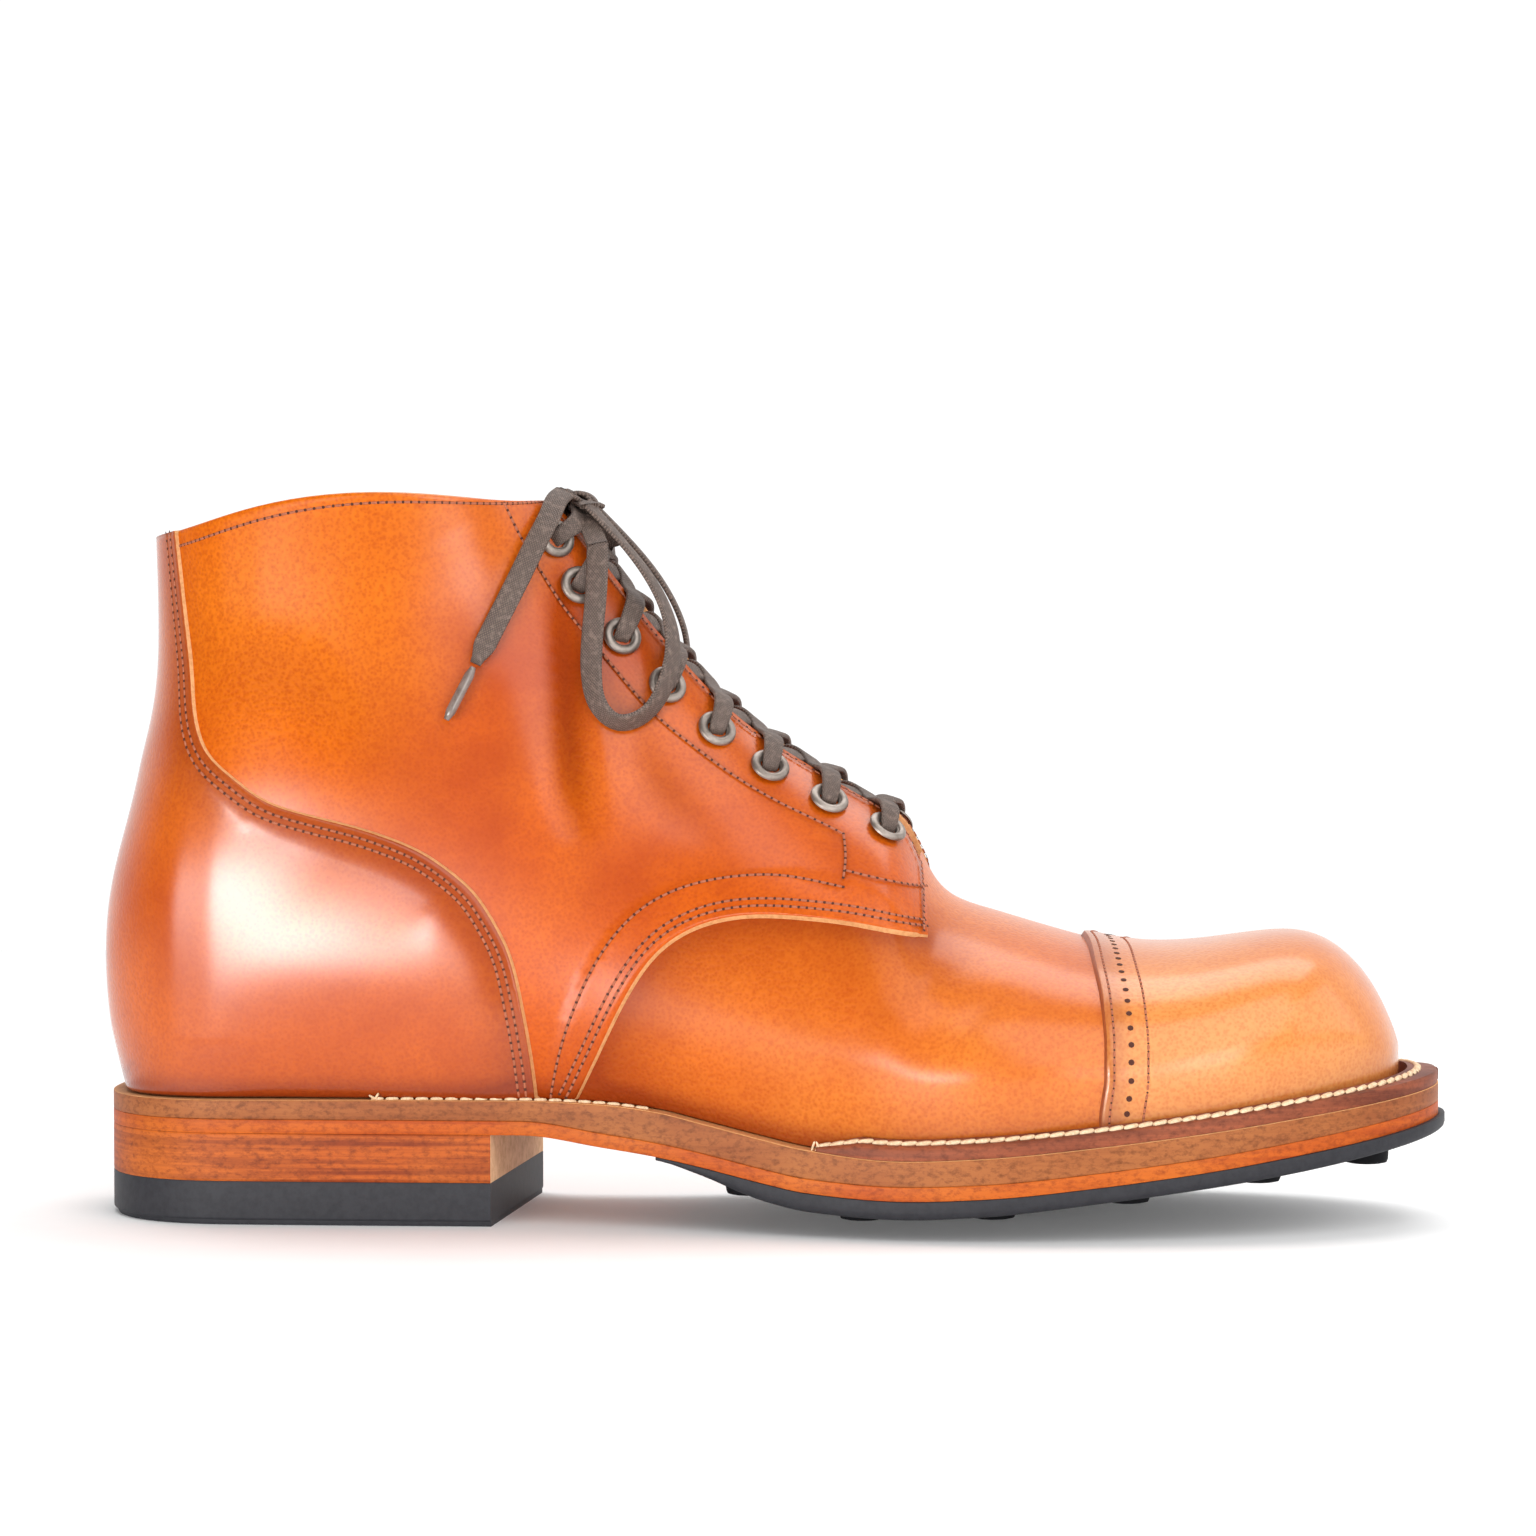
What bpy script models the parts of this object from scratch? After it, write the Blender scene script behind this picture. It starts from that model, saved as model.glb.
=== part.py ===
"""Service boot for the right foot, toe along +X, outer side along -Y, standing on Z = 0.

The upper is a fan of sections: upright at the toe, turning about the throat until they lie flat
at the collar. A point on it is named by its section t, its height v round that section
(0 at the sole or back seam, 0.5 at the widest place, 1 at the ridge) and its side.
Lengths are in millimetres, measured from the back of the heel, until a solid is made.
"""
import math

import bmesh
import bpy
import numpy as np
from mathutils import Matrix, Vector

MM = 0.001
OUT, IN = -1, 1

# Driving dimensions
GAP = 0.3
COVER_GAP = 0.7
TONGUE_GAP = 0.6
SOLE_LENGTH = 310.0
MIDSOLE_LENGTH = 308.5
HEEL_END = 33.0
TOE_END = 58.0
FEATHER_HEEL_X = 7.5
FEATHER_TOE_X = 298.0
FEATHER_HEEL_END = 26.0
FEATHER_TOE_END = 48.0
END_ROUND = 2.3

WALL = 1.8
QUARTER_STEP = 1.3
CAP_THICK = 1.2
COUNTER_THICK = 1.4
TONGUE_THICK = 2.0
INSOLE_THICK = 3.2
INSOLE_HEEL_X = 12.0
INSOLE_TOE_X = 294.5
WELT_INNER_HEIGHT = 4.4
WELT_OUTER_HEIGHT = 2.9
LEATHER_SOLE_THICK = 3.2
RUBBER_CROWN = 1.6
RUBBER_START_X = 131.0
STUD_RADIUS = 5.2
STUD_HEIGHT = 3.6
STUD_SIDES = 8
HEEL_TOP = 21.0
TOP_PIECE_HEIGHT = 10.0
LIFTS = 3
BREAST_X = 95.0
BREAST_SLANT = 0.06

EYELET_RADIUS = 4.2
EYELET_BARREL = 2.9
EYELET_HOLE = 2.3
EYELET_FLANGE = 0.9
EYELET_SIDES = 8
LACE_WIDTH = 5.4
LACE_THICK = 1.3

# Outline of the sole: half widths to the outer and inner side
SOLE_WIDTHS = (
    # x, outer, inner
    (0, 35.0, 34.0),
    (35, 35.5, 34.5),
    (65, 35.3, 33.2),
    (95, 34.8, 30.2),
    (120, 36.5, 28.8),
    (145, 42.5, 32.0),
    (170, 50.0, 40.0),
    (190, 54.0, 46.5),
    (208, 55.2, 50.0),
    (225, 54.0, 50.8),
    (245, 50.6, 49.0),
    (265, 46.5, 46.0),
    (310, 40.0, 40.0),
)

# How far the bottom edge of the upper stands in from the sole's outline
FEATHER_INSET = (
    # x, inset
    (0, 7.0),
    (55, 6.6),
    (110, 5.0),
    (150, 5.6),
    (190, 6.9),
    (250, 6.7),
    (300, 6.3),
)

# Heights of the sole's layers
SOLE_LEVELS = (
    # x, midsole top, leather sole bottom, rubber bottom at its edge
    (-5, 28.4, 21.0, 17.0),
    (60, 28.7, 21.0, 17.0),
    (100, 28.8, 21.0, 17.0),
    (118, 28.3, 18.6, 17.0),
    (131, 27.0, 16.8, 15.9),
    (141, 24.9, 15.0, 13.0),
    (155, 21.9, 12.1, 7.9),
    (166, 19.8, 10.2, 5.8),
    (186, 18.0, 9.1, 4.8),
    (205, 18.9, 9.9, 5.8),
    (230, 21.3, 12.4, 8.6),
    (253, 24.0, 15.3, 11.5),
    (276, 27.2, 18.9, 14.9),
    (300, 30.6, 23.0, 19.3),
    (312, 32.4, 25.3, 22.0),
)

# Sections of the last, toe to collar. Foot sections start at the sole, the others on the back.
SECTIONS = (
    # name, low x, low z, top x, top z, ridge y, outer, inner, belly, foot round, top round, bow
    ("toe tip", 298.0, 0, 298.0, 39.8, 0.5, 0.0, 0.0, 0.50, 1.0, 2.0, 0.0),
    ("toe nose", 296.5, 0, 296.5, 44.4, 0.8, 11.5, 11.5, 0.46, 1.0, 2.1, 0.0),
    ("toe wall", 292.0, 0, 292.0, 53.4, 1.0, 20.6, 20.5, 0.42, 1.0, 2.2, 0.0),
    ("toe round", 284.5, 0, 284.5, 61.4, 1.2, 28.8, 28.5, 0.40, 1.0, 2.3, 0.0),
    ("toe crown", 274.0, 0, 274.0, 64.8, 1.3, 36.2, 35.6, 0.38, 1.0, 2.3, 0.0),
    ("toe back", 258.0, 0, 258.0, 63.1, 1.4, 42.5, 41.2, 0.36, 1.0, 2.25, 0.0),
    ("cap dip", 240.0, 0, 240.0, 62.2, 1.6, 45.8, 43.9, 0.34, 1.0, 2.15, 0.0),
    ("vamp", 222.0, 0, 222.0, 65.8, 1.8, 48.2, 44.9, 0.32, 1.0, 2.05, 0.0),
    ("ball", 205.0, 0, 205.0, 70.8, 2.0, 49.2, 43.8, 0.30, 1.0, 1.95, 0.0),
    ("vamp top", 190.5, 0, 193.0, 77.0, 2.3, 48.1, 40.8, 0.28, 1.0, 1.9, 0.0),
    ("facing front", 178.5, 0, 185.6, 91.0, 2.5, 46.4, 38.0, 0.27, 1.0, 1.88, 0.0),
    ("throat", 162.5, 0, 176.0, 98.6, 2.6, 43.4, 34.6, 0.26, 1.0, 1.88, 0.0),
    ("instep", 141.0, 0, 162.5, 107.0, 2.4, 38.7, 30.4, 0.26, 1.0, 1.88, 0.0),
    ("waist", 115.0, 0, 149.0, 116.6, 2.0, 34.4, 28.6, 0.26, 1.0, 1.92, 0.0),
    ("arch", 86.0, 0, 137.4, 128.0, 1.4, 33.2, 30.0, 0.26, 1.0, 1.96, 0.0),
    ("heel front", 54.0, 0, 128.3, 138.4, 0.9, 33.3, 32.2, 0.27, 1.1, 2.0, 0.0),
    ("heel side", 28.2, 0, 122.1, 146.5, 0.5, 33.2, 32.6, 0.28, 1.4, 2.0, 0.0),
    ("heel turn", 12.7, 0, 118.0, 151.8, 0.3, 32.8, 32.4, 0.30, 1.8, 2.0, 0.4),
    ("heel corner", 7.5, 29.0, 114.8, 156.0, 0.2, 32.3, 32.0, 0.32, 2.0, 2.0, 0.8),
    ("heel back", 0, 62.0, 111.4, 159.3, 0.1, 31.3, 31.1, 0.36, 2.0, 2.05, 1.6),
    ("ankle", 0, 98.0, 108.4, 161.5, 0.0, 30.0, 29.8, 0.41, 2.0, 2.1, 2.6),
    ("shaft", 0, 130.0, 105.6, 163.2, 0.0, 30.2, 30.0, 0.45, 2.0, 2.15, 3.4),
    ("collar", 0, 157.0, 103.0, 164.4, 0.0, 31.6, 31.4, 0.48, 2.0, 2.15, 4.2),
)
CORNER = 18.0
LAST = 22.0
EASE_REACH = 2.9
EASE_HEIGHT = 0.34
EASE_STEP = 0.5
EASE = ((0.0625, -2), (0.25, -1), (0.375, 0), (0.25, 1), (0.0625, 2))

# Back of the last, under the counter and the quarter
BACK = (
    # z, x
    (29.0, 7.5),
    (35.0, 4.4),
    (42.0, 2.9),
    (52.0, 1.8),
    (63.0, 1.1),
    (77.0, 2.6),
    (91.0, 7.0),
    (102.0, 9.2),
    (112.0, 11.6),
    (119.0, 12.9),
    (130.0, 14.0),
    (145.0, 14.1),
    (162.0, 13.6),
)

# Half of the gap between the facings
THROAT_GAP = (
    # section, half gap
    (9.0, 17.0),
    (9.5, 13.5),
    (10.0, 12.0),
    (11.0, 11.0),
    (13.0, 9.5),
    (15.0, 8.0),
    (18.0, 7.2),
    (22.0, 7.5),
)

# Edge of the quarter over the vamp, from the facing's front corner to where it turns down
# along a section, in side view
QUARTER_EDGE = (
    # x, z
    (192.0, 66.8),
    (177.2, 69.3),
    (163.4, 71.3),
    (150.0, 71.4),
    (139.2, 68.9),
    (131.4, 64.6),
)

# Edge of the counter over the quarter, from the sole up the back strip to the collar
COUNTER_EDGE = (
    # x, z
    (103.0, 28.0),
    (102.0, 38.3),
    (99.6, 52.0),
    (96.5, 63.3),
    (93.1, 69.7),
    (88.8, 75.8),
    (83.2, 80.7),
    (76.5, 85.0),
    (69.4, 88.0),
    (62.0, 90.4),
    (54.4, 92.4),
    (47.5, 94.2),
    (41.0, 96.6),
    (33.4, 101.9),
    (28.1, 106.8),
    (25.2, 113.1),
    (23.6, 125.1),
    (22.4, 138.5),
    (21.4, 150.0),
    (20.8, 160.0),
)
CAP_EDGE = (
    # height round the section, section
    (0.0, 6.42),
    (0.4, 6.38),
    (0.7, 6.52),
    (1.0, 6.74),
)

# Studs of the half sole: one row per line across
STUD_ROWS = (
    # x, offsets across
    (151.0, (-24.0, 2.0)),
    (177.5, (-34.0, -4.0, 26.0)),
    (207.0, (-37.0, -3.0, 31.0)),
    (237.0, (-34.0, -1.0, 32.0)),
    (266.5, (-26.0, 0.0, 26.0)),
    (292.0, (0.0,)),
)

# Eyelets of one facing, front to top
EYELET_ROWS = (
    # run along the facing's edge, distance from the edge
    (22.1, 8.4),
    (37.0, 9.3),
    (52.3, 9.1),
    (66.9, 8.9),
    (81.9, 9.8),
    (96.5, 10.1),
    (111.3, 10.1),
    (121.9, 7.6),
)

# Bow on the outer side, from the knot, and mirrored to the inner side
CORD_RADIUS = 1.6
AGLET_RADIUS = 1.25
KNOT = (109.2, 0.0, 164.2)
KNOT_SIZE = (9.0, 11.0, 6.6)
LOOP_ROUTE = (
    # x, y, z
    (112.6, -7.6, 164.2),
    (118.4, -9.2, 158.1),
    (126.0, -11.0, 149.0),
    (131.2, -13.4, 139.5),
    (132.9, -17.8, 129.9),
    (131.0, -21.3, 121.9),
    (126.6, -24.2, 116.0),
    (121.0, -25.8, 114.7),
    (117.2, -26.2, 117.8),
    (115.0, -24.2, 124.6),
    (114.8, -20.8, 134.7),
    (115.4, -18.2, 145.4),
    (115.2, -14.0, 155.2),
)
END_ROUTE = (
    # x, y, z
    (107.0, -7.8, 167.4),
    (105.6, -12.2, 165.6),
    (104.6, -16.2, 162.2),
    (102.5, -19.8, 157.2),
    (98.5, -23.2, 148.2),
    (95.3, -25.2, 141.4),
    (91.9, -27.2, 134.3),
    (88.9, -28.9, 128.0),
)
AGLET_ROUTE = (
    # x, y, z
    (88.5, -29.1, 127.2),
    (82.6, -31.6, 115.3),
)


class Curve:
    """Smooth curve through the rows of a table, straight beyond its ends."""

    def __init__(self, knots, values, flat=False):
        self.knots = np.array(knots, float)
        self.values = np.array(values, float)
        steps = np.diff(self.knots)
        rises = np.diff(self.values) / steps
        count = len(self.knots)
        if flat:
            slopes = np.zeros(count)
            slopes[0], slopes[-1] = rises[0], rises[-1]
            for i in range(1, count - 1):
                if rises[i - 1] * rises[i] > 0:
                    slopes[i] = 2 / (1 / rises[i - 1] + 1 / rises[i])
        else:
            grid = np.zeros((count, count))
            side = np.zeros(count)
            grid[0, :2] = (2, 1)
            side[0] = 3 * rises[0]
            grid[-1, -2:] = (1, 2)
            side[-1] = 3 * rises[-1]
            for i in range(1, count - 1):
                grid[i, i - 1:i + 2] = (steps[i], 2 * (steps[i - 1] + steps[i]), steps[i - 1])
                side[i] = 3 * (steps[i] * rises[i - 1] + steps[i - 1] * rises[i])
            slopes = np.linalg.solve(grid, side)
        self.slopes = slopes

    def __call__(self, at):
        held = min(max(at, self.knots[0]), self.knots[-1])
        i = int(min(max(np.searchsorted(self.knots, held) - 1, 0), len(self.knots) - 2))
        step = self.knots[i + 1] - self.knots[i]
        u = (held - self.knots[i]) / step
        value = (
            (1 + 2 * u) * (1 - u) ** 2 * self.values[i]
            + u * u * (3 - 2 * u) * self.values[i + 1]
            + step * u * (1 - u) ** 2 * self.slopes[i]
            - step * u * u * (1 - u) * self.slopes[i + 1]
        )
        if at < held:
            value += (at - held) * self.slopes[0]
        if at > held:
            value += (at - held) * self.slopes[-1]
        return float(value)


def column(table, index, flat=False, key=0):
    return Curve([row[key] for row in table], [row[index] for row in table], flat)


# Sole
width_of = {OUT: column(SOLE_WIDTHS, 1), IN: column(SOLE_WIDTHS, 2)}
inset_at = column(FEATHER_INSET, 1, True)
midsole_top = column(SOLE_LEVELS, 1, True)
leather_bottom = column(SOLE_LEVELS, 2, True)
rubber_bottom = column(SOLE_LEVELS, 3, True)


def end_round(run, length):
    if run >= length:
        return 1.0
    share = 1 - max(run, 0.0) / length
    return (1 - share ** END_ROUND) ** (1 / END_ROUND)


def sole_half(x, side, length=SOLE_LENGTH, inset=0.0):
    half = width_of[side](x) - inset
    return half * end_round(x - inset, HEEL_END) * end_round(length - inset - x, TOE_END)


def feather_half(x, side):
    half = width_of[side](x) - inset_at(x)
    heel = end_round(x - FEATHER_HEEL_X, FEATHER_HEEL_END)
    return half * heel * end_round(FEATHER_TOE_X - x, FEATHER_TOE_END)


# Last
def section_column(index, first=0, last=len(SECTIONS)):
    rows = SECTIONS[first:last]
    return Curve(range(first, first + len(rows)), [row[index] for row in rows])


low_x = section_column(1, 0, int(CORNER) + 1)
low_z = section_column(2, int(CORNER))
top_x, top_z = section_column(3), section_column(4)
ridge_y = section_column(5)
belly_half = {OUT: section_column(6), IN: section_column(7)}
belly_at = section_column(8)
foot_round = section_column(9)
top_round = section_column(10)
bow_of = section_column(11)
back_x = column(BACK, 1)
half_gap = column(THROAT_GAP, 1, True)


def low_end(t):
    if t <= CORNER:
        x = low_x(t)
        return x, midsole_top(x) + GAP
    z = low_z(t)
    return back_x(z), z


def section_point(t, v, side):
    """Point of one section."""
    x0, z0 = low_end(t)
    x1, z1 = top_x(t), top_z(t)
    belly = belly_at(t)
    ridge = ridge_y(t)
    if v <= 0.5:
        power = foot_round(t)
        widest = belly_half[side](t)
        start = min(feather_half(x0, side), widest) if t < CORNER else 0.0
        u = (2 * v) ** power
        s = belly * u
        reach = start + (widest - start) * (1 - (1 - u) ** 2.4) ** (1 / power)
        y = side * reach
    else:
        turn = (v - 0.5) * math.pi
        power = 2 / top_round(t)
        s = belly + (1 - belly) * math.sin(turn) ** power
        share = max(math.cos(turn), 0.0) ** power if v < 1 else 0.0
        y = ridge + (side * belly_half[side](t) - ridge) * share
    run_x, run_z = x1 - x0, z1 - z0
    size = math.hypot(run_x, run_z)
    lift = bow_of(t) * 4 * s * (1 - s) / max(size, 1e-6)
    return np.array((x0 + run_x * s - run_z * lift, y, z0 + run_z * s + run_x * lift))


def place(t, v, side):
    """Point on the last, with the sections eased into each other round the heel's corner."""
    v = min(max(v, 0.0), 1.0)
    near = max(1 - ((t - CORNER) / EASE_REACH) ** 2, 0.0)
    share = min(v / EASE_HEIGHT, 1.0)
    step = EASE_STEP * near * share * share * (3 - 2 * share)
    if step < 1e-4:
        return section_point(t, v, side)
    total = np.zeros(3)
    for weight, turns in EASE:
        total += weight * section_point(t + turns * step, v, side)
    return total


def normal(t, v, side):
    """Direction out of the last."""
    dt, dv = 0.01, 0.004
    if t < 0.02:
        run = place(0.02, min(v + dv, 1), side) - place(0.02, max(v - dv, 0), side)
        way = np.array((run[2], 0.0, -run[0]))
        return way / np.linalg.norm(way)
    along = place(t + dt, v, side) - place(t - dt, v, side)
    if v > 0.999 or (v < 0.001 and t >= CORNER):
        way = np.array((along[2], 0.0, -along[0]))
        if v > 0.5:
            way = way * (1 if way[2] > 0 else -1)
        else:
            way = way * (1 if way[0] < 0 else -1)
        return way / np.linalg.norm(way)
    across = place(t, min(v + dv, 1), side) - place(t, max(v - dv, 0), side)
    way = side * np.cross(along, across)
    return way / np.linalg.norm(way)


def skin(t, v, side, lift=0.0):
    """Point over the last by a lift, held above the sole."""
    point = place(t, v, side)
    if lift:
        point = point + lift * normal(t, v, side)
    point[2] = max(point[2], midsole_top(point[0]) + GAP)
    return point


def height_of(t, s):
    """Height of a share of the way from the low end to the top."""
    belly = belly_at(t)
    if s <= belly:
        return 0.5 * max(s / belly, 0.0) ** (1 / foot_round(t))
    return 0.5 + math.asin(min((s - belly) / (1 - belly), 1.0) ** (top_round(t) / 2)) / math.pi


def locate(x, z):
    """Section and share of the way up of a place in side view."""
    def off(t):
        x0, z0 = low_end(t)
        return (top_x(t) - x0) * (z - z0) - (top_z(t) - z0) * (x - x0)

    first, last = 0.5, LAST + 0.5
    for _ in range(40):
        middle = (first + last) / 2
        if off(middle) > 0:
            first = middle
        else:
            last = middle
    t = (first + last) / 2
    x0, z0 = low_end(t)
    run_x, run_z = top_x(t) - x0, top_z(t) - z0
    s = ((x - x0) * run_x + (z - z0) * run_z) / (run_x ** 2 + run_z ** 2)
    for _ in range(6):
        here = place(t, height_of(t, s), OUT)
        by_t = (place(t + 0.02, height_of(t + 0.02, s), OUT) - here) / 0.02
        by_s = (place(t, height_of(t, s + 0.005), OUT) - here) / 0.005
        grid = np.array(((by_t[0], by_s[0]), (by_t[2], by_s[2])))
        miss = np.array((x - here[0], z - here[2]))
        step = np.linalg.lstsq(grid, miss, rcond=None)[0]
        t += max(min(step[0], 0.3), -0.3)
        s = min(max(s + max(min(step[1], 0.1), -0.1), 0.0), 0.99)
    return t, s


def seam(table):
    """Share of the way up of a seam, as a curve over the sections."""
    spots = sorted(locate(x, z) for x, z in table)
    return Curve([spot[0] for spot in spots], [spot[1] for spot in spots], True)


quarter_seam = seam(QUARTER_EDGE)
counter_seam = seam(COUNTER_EDGE)
cap_t = column(CAP_EDGE, 1)
FRONT = quarter_seam.knots[0]
QUARTER_END = quarter_seam.knots[-1]
COUNTER_END = counter_seam.knots[0]


def quarter_v(t):
    return height_of(t, quarter_seam(t))


def counter_v(t):
    return height_of(t, counter_seam(t))


def facing_v(t):
    """Height of the facing's edge."""
    gap = half_gap(t) / (belly_half[OUT](t) + ridge_y(t))
    return 0.5 + math.acos(min(gap, 1.0) ** (top_round(t) / 2)) / math.pi


def rim_v(t, rise):
    """Lowest height that stands a rise over the sole."""
    floor = 29.0 if t >= CORNER else low_end(t)[1]
    if low_end(t)[1] >= floor + rise:
        return 0.0
    first, last = 0.0, 0.5
    for _ in range(30):
        middle = (first + last) / 2
        if place(t, middle, OUT)[2] < floor + rise:
            first = middle
        else:
            last = middle
    return last


# Solids
for thing in list(bpy.data.objects):
    bpy.data.objects.remove(thing)

LOOKS = {
    "leather": ((0.62, 0.20, 0.04), 0.35, 0.0),
    "sole_leather": ((0.42, 0.17, 0.07), 0.5, 0.0),
    "rubber": ((0.05, 0.05, 0.055), 0.7, 0.0),
    "brass": ((0.36, 0.31, 0.27), 0.35, 1.0),
    "fabric": ((0.25, 0.19, 0.16), 0.8, 0.0),
    "plastic": ((0.16, 0.10, 0.07), 0.3, 0.0),
}
MATERIALS = {}
for look, (colour, rough, metal) in LOOKS.items():
    material = bpy.data.materials.new(look)
    material.use_nodes = True
    shader = material.node_tree.nodes["Principled BSDF"]
    shader.inputs["Base Color"].default_value = (*colour, 1)
    shader.inputs["Roughness"].default_value = rough
    shader.inputs["Metallic"].default_value = metal
    MATERIALS[look] = material

SHIFT = np.array((
    -(SOLE_LENGTH - 1.9) / 2,
    (max(width_of[OUT](x) for x in range(190, 230)) - max(width_of[IN](x) for x in range(190, 240))) / 2,
    0.0,
))


def metres(point):
    return Vector(((np.asarray(point, float) + SHIFT) * MM).tolist())


def finish(name, bm, look):
    """Object from a bmesh, with its faces turned outward."""
    bmesh.ops.remove_doubles(bm, verts=bm.verts, dist=0.004 * MM)
    bmesh.ops.dissolve_degenerate(bm, edges=bm.edges, dist=0.002 * MM)
    bmesh.ops.triangulate(bm, faces=[face for face in bm.faces if len(face.verts) > 4])
    bmesh.ops.recalc_face_normals(bm, faces=bm.faces)
    mesh = bpy.data.meshes.new(name)
    bm.to_mesh(mesh)
    bm.free()
    thing = bpy.data.objects.new(name, mesh)
    mesh.materials.append(MATERIALS[look])
    bpy.context.scene.collection.objects.link(thing)
    return thing


def sheet(name, grids, look):
    """Closed wall from grids of (outer point, inner point) pairs."""
    bm = bmesh.new()
    under = bm.verts.layers.float_vector.new("under")
    for grid in grids:
        rows = []
        for pairs in grid:
            row = []
            for outer, inner in pairs:
                vert = bm.verts.new(metres(outer))
                vert[under] = metres(inner)
                row.append(vert)
            rows.append(row)
        for one, two in zip(rows, rows[1:]):
            for j in range(len(one) - 1):
                bm.faces.new((one[j], one[j + 1], two[j]))
                bm.faces.new((one[j + 1], two[j + 1], two[j]))
    bmesh.ops.remove_doubles(bm, verts=bm.verts, dist=0.004 * MM)
    rim = [edge for edge in bm.edges if edge.is_boundary]
    faces = list(bm.faces)
    twin = {vert: bm.verts.new(vert[under]) for vert in list(bm.verts)}
    for face in faces:
        bm.faces.new([twin[vert] for vert in reversed(face.verts)])
    for edge in rim:
        one, two = edge.verts
        bm.faces.new((one, two, twin[two], twin[one]))
    return finish(name, bm, look)


def plate(name, stations, look):
    """Solid from rings of points, closed at both ends."""
    bm = bmesh.new()
    rings = [[bm.verts.new(metres(point)) for point in ring] for ring in stations]
    count = len(rings[0])
    for one, two in zip(rings, rings[1:]):
        for j in range(count):
            k = (j + 1) % count
            bm.faces.new((one[j], one[k], two[k], two[j]))
    bm.faces.new(rings[0])
    bm.faces.new(list(reversed(rings[-1])))
    return finish(name, bm, look)


def join(target, tool, kind):
    """Boolean of two objects, made now, so that one object is left."""
    change = target.modifiers.new(kind.lower(), "BOOLEAN")
    change.operation = kind
    change.solver = "EXACT"
    change.object = tool
    bpy.context.view_layer.update()
    graph = bpy.context.evaluated_depsgraph_get()
    made = bpy.data.meshes.new_from_object(target.evaluated_get(graph))
    target.modifiers.clear()
    old = target.data
    target.data = made
    bpy.data.meshes.remove(old)
    bpy.data.objects.remove(tool)


def spread(first, last, count):
    """Places between two ends, closer together towards both."""
    return [first + (last - first) * (1 - math.cos(math.pi * i / count)) / 2 for i in range(count + 1)]


def evenly(first, last, count):
    return [first + (last - first) * i / count for i in range(count + 1)]


# Soles
def layer(name, bottom, top, length, stations, look, inset=0.0):
    rings = []
    for x in stations:
        out = sole_half(x, OUT, length, inset)
        inner = sole_half(x, IN, length, inset)
        rings.append((
            (x, -out, bottom(x)),
            (x, -out, top(x)),
            (x, inner, top(x)),
            (x, inner, bottom(x)),
        ))
    return plate(name, rings, look)


def leather_top(x):
    return leather_bottom(x) + LEATHER_SOLE_THICK


def build_soles():
    around = spread(0.0, MIDSOLE_LENGTH, 34)
    layer("midsole", lambda x: leather_top(x) + GAP, midsole_top, MIDSOLE_LENGTH, around, "sole_leather")
    layer("leather_sole", leather_bottom, leather_top, MIDSOLE_LENGTH, around, "sole_leather")

    rings = []
    along = evenly(RUBBER_START_X, 250.0, 14) + spread(250.0, 2 * SOLE_LENGTH - 250.0, 28)[1:15]
    for x in along:
        x = min(x, SOLE_LENGTH)
        out = sole_half(x, OUT)
        inner = sole_half(x, IN)
        low = rubber_bottom(x)
        crown = RUBBER_CROWN * min((x - RUBBER_START_X) / 40, 1) * min((SOLE_LENGTH - x) / 30, 1)
        top = leather_bottom(x) - GAP
        rings.append((
            (x, -out, low),
            (x, -out, top),
            (x, inner, top),
            (x, inner, low),
            (x, (inner - out) / 2, low - crown),
        ))
    rubber = plate("rubber_sole", rings, "rubber")
    for x, offsets in STUD_ROWS:
        foot = max(rubber_bottom(x) - RUBBER_CROWN - STUD_HEIGHT, 0.0)
        for y in offsets:
            stud = prism((x, y, foot), (0, 0, 1), rubber_bottom(x) + 1.2 - foot, STUD_RADIUS, STUD_SIDES, "rubber")
            join(rubber, stud, "UNION")

    outline = []
    for side in (OUT, IN):
        corner = BREAST_X + BREAST_SLANT * side * (34.8 if side == OUT else 30.2)
        edge = [corner * (1 - math.cos(math.pi / 2 * i / 14)) for i in range(15)]
        line = [(x, side * sole_half(x, side)) for x in edge]
        outline += list(reversed(line)) if side == OUT else line[1:]

    def slab(name, low, high, look):
        plate(name, [[(x, y, low) for x, y in outline], [(x, y, high) for x, y in outline]], look)

    slab("heel_top_piece", 0.0, TOP_PIECE_HEIGHT, "rubber")
    room = (HEEL_TOP - TOP_PIECE_HEIGHT - GAP * (LIFTS + 1)) / LIFTS
    for i in range(LIFTS):
        low = TOP_PIECE_HEIGHT + GAP + i * (room + GAP)
        slab(f"heel_lift_{i + 1}", low, low + room, "sole_leather")


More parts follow.
